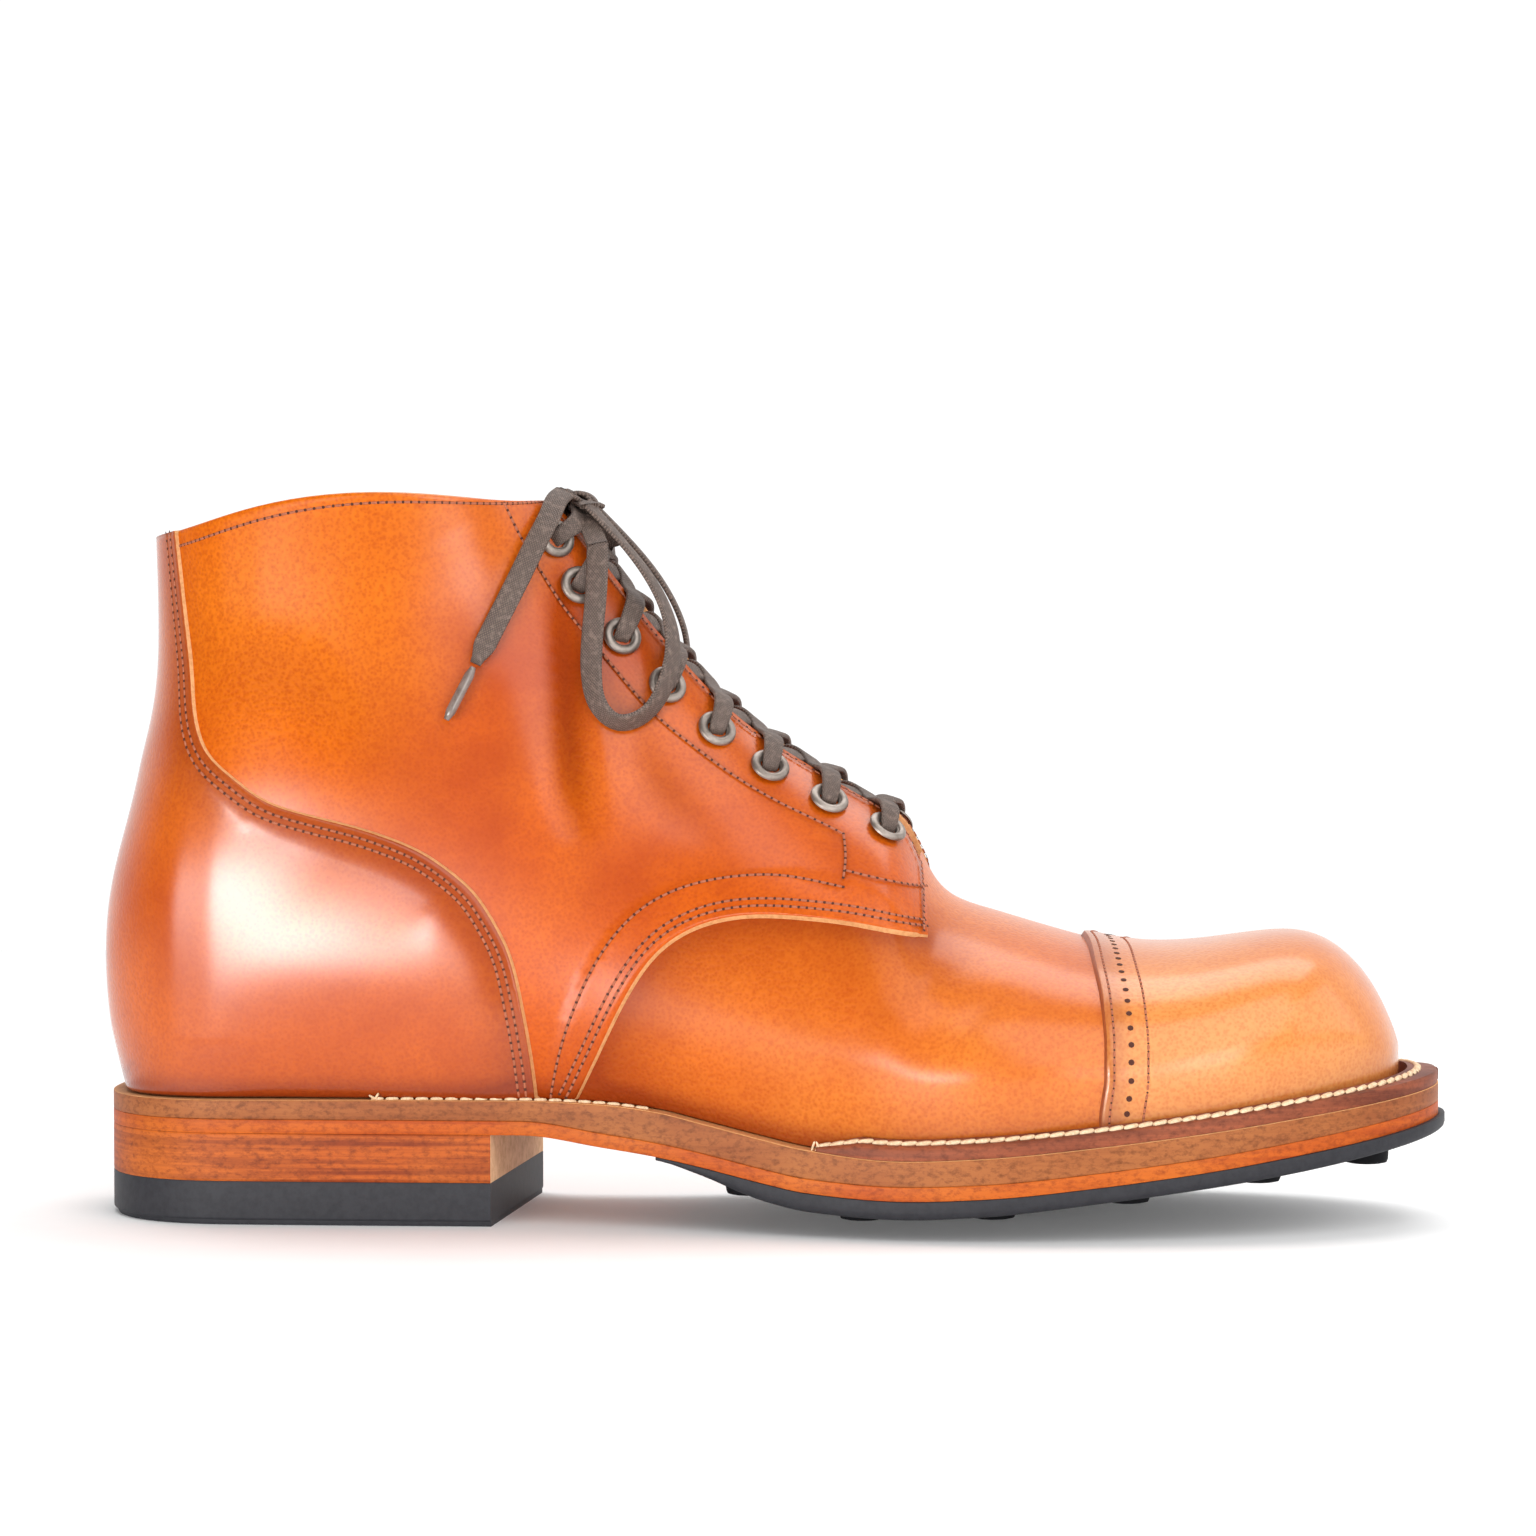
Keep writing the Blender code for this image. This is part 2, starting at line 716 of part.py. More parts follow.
def build_welt():
    """Strip round the forepart, its top sloping out, thinned towards both ends."""
    path = []
    for side, start in ((OUT, 168.0), (IN, 166.0)):
        reach = MIDSOLE_LENGTH - start
        edge = [start + reach * math.sin(math.pi / 2 * i / 22) for i in range(23)]
        line = [(x, side, min((x - start) / 10, 1)) for x in edge]
        path += line if side == OUT else list(reversed(line))[1:]
    rings = []
    for x, side, share in path:
        outer_y = side * sole_half(x, side, MIDSOLE_LENGTH, 0.3)
        run = (MIDSOLE_LENGTH - x) / (MIDSOLE_LENGTH - 168.0)
        inner_x = x - (1 - run) ** 6 * (MIDSOLE_LENGTH - FEATHER_TOE_X - CAP_THICK - 2.2)
        inner_y = side * welt_inner(inner_x, side)
        bottom = midsole_top(x) + GAP
        inner_bottom = midsole_top(inner_x) + GAP
        rise = 0.25 + 0.75 * share
        rings.append((
            (inner_x, inner_y, inner_bottom),
            (x, outer_y, bottom),
            (x, outer_y, bottom + WELT_OUTER_HEIGHT * rise),
            (inner_x, inner_y, inner_bottom + WELT_INNER_HEIGHT * rise),
        ))
    plate("welt", rings, "sole_leather")


def welt_inner(x, side):
    """Half width that clears the upper and its toe cap."""
    tip = FEATHER_TOE_X + CAP_THICK + 2.2
    half = width_of[side](x) - inset_at(x) + 2.0
    cover = (CAP_THICK + 0.6) * min(max((x - 215) / 15, 0), 1)
    return (half + cover) * end_round(tip - x, FEATHER_TOE_END)


def build_insole():
    rings = []
    for x in spread(INSOLE_HEEL_X, INSOLE_TOE_X, 24):
        low = midsole_top(x) + COVER_GAP
        halves = {}
        for side in (OUT, IN):
            half = width_of[side](x) - inset_at(x) - 2.6
            halves[side] = half * end_round(x - INSOLE_HEEL_X, FEATHER_HEEL_END)
            halves[side] *= end_round(INSOLE_TOE_X - x, FEATHER_TOE_END)
        rings.append((
            (x, -halves[OUT], low),
            (x, -halves[OUT], low + INSOLE_THICK),
            (x, halves[IN], low + INSOLE_THICK),
            (x, halves[IN], low),
        ))
    plate("insole", rings, "leather")


# Upper
RINGS = (
    (0, 0.6, 1.2, 1.9, 2.6, 3.4, 4.2, 5.1, 6.0, 6.8, 7.6, 8.4)
    + (FRONT, 9.5, 10.0, 10.6, 11.3, 12.0, 12.5)
    + (QUARTER_END, COUNTER_END, 13.52, 13.66, 13.9, 14.5, 15.1, 15.7, 16.3, 16.9, 17.5)
    + (18, 18.4, 18.9, 19.4, 19.75, 20.1, 20.6, 21.2, 22)
)
# How far the quarter's edge leaves its section on the way down, sole first
TURN_SHIFT = (0.08, 0.14, 0.10, 0.0)
FRONT_RING = RINGS.index(FRONT)
TURN_RING = RINGS.index(QUARTER_END)
LOW_STEPS, HIGH_STEPS, GAP_STEPS = 3, 7, 1
EDGE = LOW_STEPS + HIGH_STEPS
COLUMNS = EDGE + GAP_STEPS
GRID = {}


def heights(t):
    """Heights of the wall's columns at a section: vamp, quarter, then the throat."""
    split = quarter_v(min(max(t, FRONT), QUARTER_END))
    edge = facing_v(max(t, FRONT))
    return evenly(0, split, LOW_STEPS) + evenly(split, edge, HIGH_STEPS)[1:] + evenly(edge, 1, GAP_STEPS)[1:]


def knot(ring, col, side, lift):
    key = (ring, col, side, lift)
    if key not in GRID:
        t = RINGS[ring]
        v = heights(t)[col]
        if ring == TURN_RING and col < LOW_STEPS:
            t += TURN_SHIFT[col]
        GRID[key] = skin(t, v, side, lift)
    return GRID[key]


def facet(ring, col, side, lift):
    """Point between the knots of the wall, so that covers lie on its facets."""
    i, j = min(int(ring), len(RINGS) - 2), min(int(col), COLUMNS - 1)
    a, b = ring - i, col - j
    one = knot(i, j, side, lift) * (1 - b) + knot(i, j + 1, side, lift) * b
    two = knot(i + 1, j, side, lift) * (1 - b) + knot(i + 1, j + 1, side, lift) * b
    return one * (1 - a) + two * a


def col_of(t, v):
    """Column, with its fraction, of a height at a section."""
    line = heights(t)
    for j in range(COLUMNS):
        if line[j + 1] >= v and line[j + 1] > line[j]:
            return j + max((v - line[j]) / (line[j + 1] - line[j]), 0.0)
    return float(COLUMNS)


def wall(ring, col, side, lift):
    return knot(ring, col, side, lift), knot(ring, col, side, -WALL)


def build_upper():
    grids = []
    for side in (OUT, IN):
        def rows(rings, cols, lifts):
            return [[wall(i, j, side, lift) for j in cols for lift in lifts(j)] for i in rings]

        low, high = range(LOW_STEPS + 1), range(LOW_STEPS, EDGE + 1)
        grids.append(rows(range(FRONT_RING + 1), range(COLUMNS + 1), lambda j: (0,)))
        grids.append([[wall(FRONT_RING, j, side, lift) for j in high] for lift in (0, QUARTER_STEP)])
        grids.append(rows(
            range(FRONT_RING, TURN_RING + 1),
            range(EDGE + 1),
            lambda j: (0,) if j < LOW_STEPS else (0, QUARTER_STEP) if j == LOW_STEPS else (QUARTER_STEP,),
        ))
        grids.append([[wall(TURN_RING, j, side, lift) for j in low] for lift in (0, QUARTER_STEP)])
        grids.append(rows(range(TURN_RING, len(RINGS)), range(EDGE + 1), lambda j: (QUARTER_STEP,)))
    return sheet("upper", grids, "leather")


def cover(name, first, last, limits, low, thick, look="leather"):
    """Layer on the wall's facets, between a lower and an upper column at each ring."""
    grids = []
    for side in (OUT, IN):
        rows = []
        for i in range(first, last + 1):
            start, end = limits(RINGS[i])
            row = []
            for j in range(COLUMNS + 1):
                col = min(max(j, start), end)
                row.append((facet(i, col, side, low + thick), facet(i, col, side, low)))
            rows.append(row)
        grids.append(rows)
    return sheet(name, grids, look)


def build_toe_cap():
    """Cover of the toe, cut off across the rings along the cap's edge."""
    grids = []
    last = max(i for i, t in enumerate(RINGS) if t < 6.75) + 1
    for side in (OUT, IN):
        rows = []
        for i in range(last + 1):
            row = []
            for j in range(COLUMNS + 1):
                t = RINGS[i]
                rim = col_of(t, rim_v(t, 1.6))
                col = max(j, rim) if j < COLUMNS else j
                ring = min(i, float(np.interp(cap_t(j / COLUMNS), RINGS, range(len(RINGS)))))
                row.append((facet(ring, col, side, GAP + CAP_THICK), facet(ring, col, side, GAP)))
            rows.append(row)
        grids.append(rows)
    return sheet("toe_cap", grids, "leather")


def build_counter():
    def limits(t):
        start = col_of(t, rim_v(t, 2.2))
        return start, max(col_of(t, counter_v(t)), start)

    first = RINGS.index(COUNTER_END)
    return cover("heel_counter", first, len(RINGS) - 1, limits, QUARTER_STEP + COVER_GAP, COUNTER_THICK)


def build_tongue():
    def limits(t):
        half = 20 + 9 * (t - 8) / 14
        share = half / (belly_half[OUT](t) + ridge_y(t))
        return col_of(t, 0.5 + math.acos(share ** (top_round(t) / 2)) / math.pi), COLUMNS

    first = FRONT_RING - 2
    low = -WALL - TONGUE_GAP - TONGUE_THICK
    return cover("tongue", first, len(RINGS) - 1, limits, low, TONGUE_THICK)


# Eyelets and lace
def frame_of(way):
    """Turn that points Z along a direction."""
    return Vector(way).to_track_quat("Z", "Y").to_matrix().to_4x4()


def prism(foot, way, height, radius, sides, look, name="tool"):
    bm = bmesh.new()
    bmesh.ops.create_cone(bm, cap_ends=True, segments=sides, radius1=radius * MM, radius2=radius * MM,
                          depth=height * MM)
    centre = Vector(metres(foot)) + Vector(way) * (height / 2 * MM)
    bmesh.ops.transform(bm, matrix=Matrix.Translation(centre) @ frame_of(way), verts=bm.verts)
    return finish(name, bm, look)


def facing_line():
    """Places along the facing's edge with their run from the front."""
    places = []
    run = 0.0
    before = None
    for t in np.linspace(FRONT, LAST, 240):
        point = skin(t, facing_v(t), OUT, QUARTER_STEP)
        if before is not None:
            run += float(np.linalg.norm(point - before))
        places.append((run, float(t)))
        before = point
    return Curve([run for run, _ in places], [t for _, t in places], True)


def eyelet_places():
    """Section and height of each eyelet, front to top."""
    line = facing_line()
    places = []
    for run, inset in EYELET_ROWS:
        t = line(run)
        v = facing_v(t)
        start = skin(t, v, OUT, QUARTER_STEP)
        while np.linalg.norm(skin(t, v, OUT, QUARTER_STEP) - start) < inset:
            v -= 0.002
        places.append((t, v))
    return places


def build_eyelets(upper):
    for number, (t, v) in enumerate(eyelet_places(), 1):
        for side, word in ((OUT, "out"), (IN, "in")):
            way = normal(t, v, side)
            seat = skin(t, v, side, QUARTER_STEP)
            hole = prism(seat - 5 * way, way, 8, EYELET_BARREL + GAP + 0.1, 10, "leather")
            join(upper, hole, "DIFFERENCE")
            profile = (
                (EYELET_HOLE, GAP + EYELET_FLANGE),
                (EYELET_RADIUS, GAP),
                (EYELET_BARREL, GAP),
                (EYELET_BARREL, -WALL - QUARTER_STEP),
                (EYELET_HOLE, -WALL - QUARTER_STEP),
            )
            bm = bmesh.new()
            turn = Matrix.Translation(metres(seat)) @ frame_of(way)
            rings = []
            for i in range(EYELET_SIDES):
                angle = 2 * math.pi * i / EYELET_SIDES
                spoke = (math.cos(angle), math.sin(angle))
                rings.append([
                    bm.verts.new(turn @ Vector((r * spoke[0] * MM, r * spoke[1] * MM, z * MM)))
                    for r, z in profile
                ])
            for i in range(EYELET_SIDES):
                one, two = rings[i], rings[(i + 1) % EYELET_SIDES]
                for j in range(len(profile)):
                    k = (j + 1) % len(profile)
                    bm.faces.new((one[j], two[j], two[k], one[k]))
            finish(f"eyelet_{word}_{number}", bm, "brass")


def ribbon(name, points, ups):
    """Flat lace along points, its broad side facing the given directions."""
    rings = []
    for i, point in enumerate(points):
        run = points[min(i + 1, len(points) - 1)] - points[max(i - 1, 0)]
        across = np.cross(run, ups[i])
        across = across / np.linalg.norm(across)
        rise = np.cross(across, run)
        rise = rise / np.linalg.norm(rise) * (LACE_THICK / 2)
        half = across * (LACE_WIDTH / 2)
        rings.append((point + half - rise, point + half + rise, point - half + rise, point - half - rise))
    return plate(name, rings, "fabric")


def build_crossings():
    """Lace between the facings: out of an eyelet, over the edge, and down before the other edge."""
    places = eyelet_places()
    over = QUARTER_STEP + LACE_THICK / 2
    for k in range(len(places) - 1):
        (t0, v0), (t1, _) = places[k], places[k + 1]
        strands = []
        for side, lower in ((OUT, 0.0), (IN, 0.5)):
            edge_t = t0 + 0.22 * (t1 - t0)
            mid_t = t0 + 0.5 * (t1 - t0)
            end_t = t0 + 0.74 * (t1 - t0)
            edge = facing_v(edge_t)
            end = 1 - 0.42 * (1 - facing_v(end_t))
            spots = (
                (t0, v0, side, over + EYELET_FLANGE + 2 * GAP),
                (t0 + 0.12 * (t1 - t0), (v0 + edge) / 2, side, over + EYELET_FLANGE + 3 * GAP),
                (edge_t, edge, side, over + 3 * GAP),
                (mid_t, 1.0, side, 1.0 - lower),
                (end_t, end, -side, -0.4 - lower),
            )
            points = [skin(t, v, hand, lift) for t, v, hand, lift in spots]
            ups = [normal(t, v, hand) for t, v, hand, lift in spots]
            strands.append(ribbon(f"lace_cross_{k + 1}" if side == OUT else "tool", points, ups))
        join(strands[0], strands[1], "UNION")


def cord(name, route, side, radius, look):
    """Round cord through points given for the outer side."""
    line = bpy.data.curves.new(name, "CURVE")
    line.dimensions = "3D"
    line.bevel_depth = radius * MM
    line.bevel_resolution = 2
    line.use_fill_caps = True
    path = line.splines.new("POLY")
    path.points.add(len(route) - 1)
    for point, (x, y, z) in zip(path.points, route):
        point.co = (*metres((x, -side * y, z)), 1)
    line.materials.append(MATERIALS[look])
    thing = bpy.data.objects.new(name, line)
    bpy.context.scene.collection.objects.link(thing)


def build_bow():
    t, v = eyelet_places()[-1]
    over = QUARTER_STEP + LACE_THICK / 2
    edge = facing_v(t + 0.1)
    x, y, z = KNOT
    dx, dy, dz = (size / 2 for size in KNOT_SIZE)
    rings = []
    for share, reach in ((-1, 0.6), (-0.5, 1), (0.5, 1), (1, 0.6)):
        rings.append([
            (x + reach * a * dx, y + share * dy, z + reach * b * dz)
            for a, b in ((-1, -0.5), (-0.5, -1), (0.5, -1), (1, -0.5), (1, 0.5), (0.5, 1), (-0.5, 1), (-1, 0.5))
        ])
    knot_body = plate("lace_knot", rings, "fabric")
    for side in (OUT, IN):
        spots = (
            (t, v, over + EYELET_FLANGE + 2 * GAP),
            (t + 0.05, (v + edge) / 2, over + EYELET_FLANGE + 3 * GAP),
            (t + 0.1, edge, over + 4 * GAP),
        )
        points = [skin(a, b, side, lift) for a, b, lift in spots]
        points.append(np.array((x, y + side * 2.0, z - 0.6)))
        ups = [normal(a, b, side) for a, b, lift in spots]
        ups.append(normal(t, 1.0, side))
        join(knot_body, ribbon("tool", points, ups), "UNION")
    for side, word in ((OUT, "out"), (IN, "in")):
        cord(f"lace_loop_{word}", LOOP_ROUTE, side, CORD_RADIUS, "fabric")
        cord(f"lace_end_{word}", END_ROUTE, side, CORD_RADIUS, "fabric")
        cord(f"aglet_{word}", AGLET_ROUTE, side, AGLET_RADIUS, "plastic")


build_soles()
build_welt()
build_insole()
upper_object = build_upper()
build_toe_cap()
build_counter()
build_tongue()
build_eyelets(upper_object)
build_crossings()
build_bow()
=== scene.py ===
"""Looks of the service boot: leather panels, seams, soles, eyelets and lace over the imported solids.

The upper is the fan of sections that the solids use. A place on it is named by its section t,
its height v round that section (0 at the sole or back seam, 1 at the ridge) and its side.
Lengths are in millimetres from the back of the heel until a mesh is made.
"""
import math

import bmesh
import bpy
import numpy as np
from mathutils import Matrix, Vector


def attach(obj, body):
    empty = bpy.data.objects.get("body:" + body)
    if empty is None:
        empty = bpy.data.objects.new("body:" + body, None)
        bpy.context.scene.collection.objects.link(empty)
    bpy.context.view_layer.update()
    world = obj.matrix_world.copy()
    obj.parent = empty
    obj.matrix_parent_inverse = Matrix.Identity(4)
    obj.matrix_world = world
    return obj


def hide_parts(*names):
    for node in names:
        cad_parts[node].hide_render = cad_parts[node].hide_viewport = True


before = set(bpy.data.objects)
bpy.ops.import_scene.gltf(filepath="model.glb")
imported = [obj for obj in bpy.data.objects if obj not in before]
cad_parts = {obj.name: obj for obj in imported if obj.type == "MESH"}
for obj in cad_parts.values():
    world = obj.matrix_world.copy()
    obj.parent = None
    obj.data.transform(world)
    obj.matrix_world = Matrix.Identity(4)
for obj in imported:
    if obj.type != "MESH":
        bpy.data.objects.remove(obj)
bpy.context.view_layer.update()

MM = 0.001
OUT, IN = -1, 1
SIDES = ((OUT, "out"), (IN, "in"))

# Sizes shared with the solids
GAP = 0.3
SOLE_LENGTH = 310.0
MIDSOLE_LENGTH = 308.5
HEEL_END = 33.0
TOE_END = 58.0
FEATHER_HEEL_X = 7.5
FEATHER_TOE_X = 298.0
FEATHER_HEEL_END = 26.0
FEATHER_TOE_END = 48.0
END_ROUND = 2.3
WALL = 1.8
QUARTER_LIFT = 1.3
COUNTER_LIFT = 3.1
CAP_LIFT = 1.5
TONGUE_LIFT = -2.4
TONGUE_THICK = 2.0
TONGUE_HALF = 20
TONGUE_FLARE = 9
LEATHER_SOLE_THICK = 3.2
RUBBER_CROWN = 1.6
RUBBER_START_X = 131.0
STUD_RADIUS = 5.2
STUD_HEIGHT = 3.6
HEEL_TOP = 21.0
TOP_PIECE_HEIGHT = 10.0
BREAST_X = 95.0
BREAST_SLANT = 0.06
BREAST_HALF = {OUT: 34.8, IN: 30.2}
WELT_START = {OUT: 168.0, IN: 166.0}
WELT_INNER_HEIGHT = 4.4
WELT_OUTER_HEIGHT = 2.9
CAP_THICK = 1.2
WELT_TIP_X = FEATHER_TOE_X + CAP_THICK + 2.2
HEEL_OVERHANG = 1.9
FOOT_FLARE = 2.4
COLLAR_RISE = 0.13
INSOLE_LIFT = 0.7
INSOLE_THICK = 3.2
INSOLE_HEEL_X = 12.0
INSOLE_TOE_X = 294.5
EYELET_RADIUS = 4.2
EYELET_HOLE = 2.4
LACE_WIDTH = 5.2
LACE_THICK = 1.3

SOLE_WIDTHS = (
    # x, outer, inner
    (0, 35.0, 34.0),
    (35, 35.5, 34.5),
    (65, 35.3, 33.2),
    (95, 34.8, 30.2),
    (120, 36.5, 28.8),
    (145, 42.5, 32.0),
    (170, 50.0, 40.0),
    (190, 54.0, 46.5),
    (208, 55.2, 50.0),
    (225, 54.0, 50.8),
    (245, 50.6, 49.0),
    (265, 46.5, 46.0),
    (310, 40.0, 40.0),
)
FEATHER_INSET = (
    # x, inset
    (0, 7.0),
    (55, 6.6),
    (110, 5.0),
    (150, 5.6),
    (190, 6.9),
    (250, 6.7),
    (300, 6.3),
)
SOLE_LEVELS = (
    # x, midsole top, leather sole bottom, rubber bottom at its edge
    (-5, 28.4, 21.0, 17.0),
    (60, 28.7, 21.0, 17.0),
    (100, 28.8, 21.0, 17.0),
    (118, 28.3, 18.6, 17.0),
    (131, 27.0, 16.8, 15.9),
    (141, 24.9, 15.0, 13.0),
    (155, 21.9, 12.1, 7.9),
    (166, 19.8, 10.2, 5.8),
    (186, 18.0, 9.1, 4.8),
    (205, 18.9, 9.9, 5.8),
    (230, 21.3, 12.4, 8.6),
    (253, 24.0, 15.3, 11.5),
    (276, 27.2, 18.9, 14.9),
    (300, 30.6, 23.0, 19.3),
    (312, 32.4, 25.3, 22.0),
)
SECTIONS = (
    # name, low x, low z, top x, top z, ridge y, outer, inner, belly, foot round, top round, bow
    ("toe tip", 298.0, 0, 298.0, 39.8, 0.5, 0.0, 0.0, 0.50, 1.0, 2.0, 0.0),
    ("toe nose", 296.5, 0, 296.5, 44.4, 0.8, 11.5, 11.5, 0.46, 1.0, 2.1, 0.0),
    ("toe wall", 292.0, 0, 292.0, 53.4, 1.0, 20.6, 20.5, 0.42, 1.0, 2.2, 0.0),
    ("toe round", 284.5, 0, 284.5, 61.4, 1.2, 28.8, 28.5, 0.40, 1.0, 2.3, 0.0),
    ("toe crown", 274.0, 0, 274.0, 64.8, 1.3, 36.2, 35.6, 0.38, 1.0, 2.3, 0.0),
    ("toe back", 258.0, 0, 258.0, 63.1, 1.4, 42.5, 41.2, 0.36, 1.0, 2.25, 0.0),
    ("cap dip", 240.0, 0, 240.0, 62.2, 1.6, 45.8, 43.9, 0.34, 1.0, 2.15, 0.0),
    ("vamp", 222.0, 0, 222.0, 65.8, 1.8, 48.2, 44.9, 0.32, 1.0, 2.05, 0.0),
    ("ball", 205.0, 0, 205.0, 70.8, 2.0, 49.2, 43.8, 0.30, 1.0, 1.95, 0.0),
    ("vamp top", 190.5, 0, 193.0, 77.0, 2.3, 48.1, 40.8, 0.28, 1.0, 1.9, 0.0),
    ("facing front", 178.5, 0, 185.6, 91.0, 2.5, 46.4, 38.0, 0.27, 1.0, 1.88, 0.0),
    ("throat", 162.5, 0, 176.0, 98.6, 2.6, 43.4, 34.6, 0.26, 1.0, 1.88, 0.0),
    ("instep", 141.0, 0, 162.5, 107.0, 2.4, 38.7, 30.4, 0.26, 1.0, 1.88, 0.0),
    ("waist", 115.0, 0, 149.0, 116.6, 2.0, 34.4, 28.6, 0.26, 1.0, 1.92, 0.0),
    ("arch", 86.0, 0, 137.4, 128.0, 1.4, 33.2, 30.0, 0.26, 1.0, 1.96, 0.0),
    ("heel front", 54.0, 0, 128.3, 138.4, 0.9, 33.3, 32.2, 0.27, 1.1, 2.0, 0.0),
    ("heel side", 28.2, 0, 122.1, 146.5, 0.5, 33.2, 32.6, 0.28, 1.4, 2.0, 0.0),
    ("heel turn", 12.7, 0, 118.0, 151.8, 0.3, 32.8, 32.4, 0.30, 1.8, 2.0, 0.4),
    ("heel corner", 7.5, 29.0, 114.8, 156.0, 0.2, 32.3, 32.0, 0.32, 2.0, 2.0, 0.8),
    ("heel back", 0, 62.0, 111.4, 159.3, 0.1, 31.3, 31.1, 0.36, 2.0, 2.05, 1.6),
    ("ankle", 0, 98.0, 108.4, 161.5, 0.0, 30.0, 29.8, 0.41, 2.0, 2.1, 2.6),
    ("shaft", 0, 130.0, 105.6, 163.2, 0.0, 30.2, 30.0, 0.45, 2.0, 2.15, 3.4),
    ("collar", 0, 157.0, 103.0, 164.4, 0.0, 31.6, 31.4, 0.48, 2.0, 2.15, 4.2),
)
CORNER = 18.0
LAST = 22.0
EASE_REACH = 2.9
EASE_HEIGHT = 0.34
EASE_STEP = 0.5
EASE = ((0.0625, -2), (0.25, -1), (0.375, 0), (0.25, 1), (0.0625, 2))
BACK = (
    # z, x
    (29.0, 7.5),
    (35.0, 4.4),
    (42.0, 2.9),
    (52.0, 1.8),
    (63.0, 1.1),
    (77.0, 2.6),
    (91.0, 7.0),
    (102.0, 9.2),
    (112.0, 11.6),
    (119.0, 12.9),
    (130.0, 14.0),
    (145.0, 14.1),
    (162.0, 13.6),
)
THROAT_GAP = (
    # section, half gap
    (9.0, 17.0),
    (9.5, 13.5),
    (10.0, 12.0),
    (11.0, 11.0),
    (13.0, 9.5),
    (15.0, 8.0),
    (18.0, 7.2),
    (22.0, 7.5),
)
STUD_ROWS = (
    # x, offsets across
    (151.0, (-24.0, 2.0)),
    (177.5, (-34.0, -4.0, 26.0)),
    (207.0, (-37.0, -3.0, 31.0)),
    (237.0, (-34.0, -1.0, 32.0)),
    (266.5, (-26.0, 0.0, 26.0)),
    (292.0, (0.0,)),
)
EYELET_ROWS = (
    # run along the facing's edge, distance from the edge
    (22.1, 8.4),
    (37.0, 9.3),
    (52.3, 9.1),
    (66.9, 8.9),
    (81.9, 9.8),
    (96.5, 10.1),
    (111.3, 10.1),
    (121.9, 7.6),
)
KNOT = (109.2, 0.0, 164.2)
LOOP_ROUTE = (
    # x, y, z
    (112.6, -7.6, 164.2),
    (118.4, -9.2, 158.1),
    (126.0, -11.0, 149.0),
    (131.2, -13.4, 139.5),
    (132.9, -17.8, 129.9),
    (131.0, -21.3, 121.9),
    (126.6, -24.2, 116.0),
    (121.0, -25.8, 114.7),
    (117.2, -26.2, 117.8),
    (115.0, -24.2, 124.6),
    (114.8, -20.8, 134.7),
    (115.4, -18.2, 145.4),
    (115.2, -14.0, 155.2),
)
END_ROUTE = (
    # x, y, z
    (107.0, -7.8, 167.4),
    (105.6, -12.2, 165.6),
    (104.6, -16.2, 162.2),
    (102.5, -19.8, 157.2),
    (98.5, -23.2, 148.2),
    (95.3, -25.2, 141.4),
    (91.9, -27.2, 134.3),
    (88.9, -28.9, 128.0),
)
AGLET_ROUTE = (
    # x, y, z
    (88.5, -29.1, 127.2),
    (82.6, -31.6, 115.3),
)

# Edges and stitch lines of the panels, in side view
QUARTER_CORNER = 11
QUARTER_EDGE = (
    # x, z: up from the sole, forward to the corner, up the facing's front
    (111.4, 28.0),
    (117.3, 39.7),
    (121.6, 48.5),
    (125.8, 56.0),
    (131.2, 62.9),
    (139.2, 68.2),
    (146.3, 70.4),
    (153.1, 71.2),
    (163.5, 70.9),
    (177.5, 69.3),
    (186.0, 67.6),
    (191.8, 66.5),
    (191.1, 71.6),
    (190.3, 76.5),
    (189.5, 80.3),
)
COUNTER_EDGE = (
    # x, z: up from the sole, back to the strip, up to the collar
    (103.0, 28.0),
    (102.0, 38.3),
    (99.6, 52.0),
    (96.5, 63.3),
    (93.1, 69.7),
    (88.8, 75.8),
    (83.2, 80.7),
    (76.5, 85.0),
    (69.4, 88.0),
    (62.0, 90.4),
    (54.4, 92.4),
    (47.5, 94.2),
    (41.0, 96.6),
    (33.4, 101.9),
    (28.1, 106.8),
    (25.2, 113.1),
    (23.6, 125.1),
    (22.0, 138.5),
    (20.6, 150.0),
    (19.6, 158.6),
)
CAP_EDGE = (
    # section, height
    (6.47, 0.0),
    (6.474, 0.196),
    (6.45, 0.34),
    (6.414, 0.519),
    (6.414, 0.583),
    (6.44, 0.652),
    (6.48, 0.719),
    (6.56, 0.807),
    (6.659, 0.931),
    (6.74, 1.0),
)
EYESTAY_CORNER = 2
EYESTAY_LINE = (
    # x, z
    (172.9, 79.0),
    (173.1, 83.1),
    (172.2, 88.4),
    (167.6, 90.7),
    (158.2, 95.2),
    (147.8, 101.1),
    (138.6, 107.6),
    (129.1, 115.4),
    (117.4, 128.4),
    (106.3, 142.6),
    (101.5, 149.6),
    (97.6, 156.2),
    (93.7, 164.6),
)
FACING_LINE = (
    # x, z
    (173.2, 80.6),
    (181.3, 78.6),
    (190.2, 76.6),
)
VAMP_LINE = (
    # x, z: where the vamp ends under the quarter
    (106.0, 28.0),
    (109.0, 40.9),
    (113.5, 53.2),
    (120.0, 64.8),
    (128.4, 73.1),
    (139.0, 77.8),
    (149.3, 79.6),
    (159.7, 79.6),
    (166.7, 78.4),
    (173.0, 77.0),
)
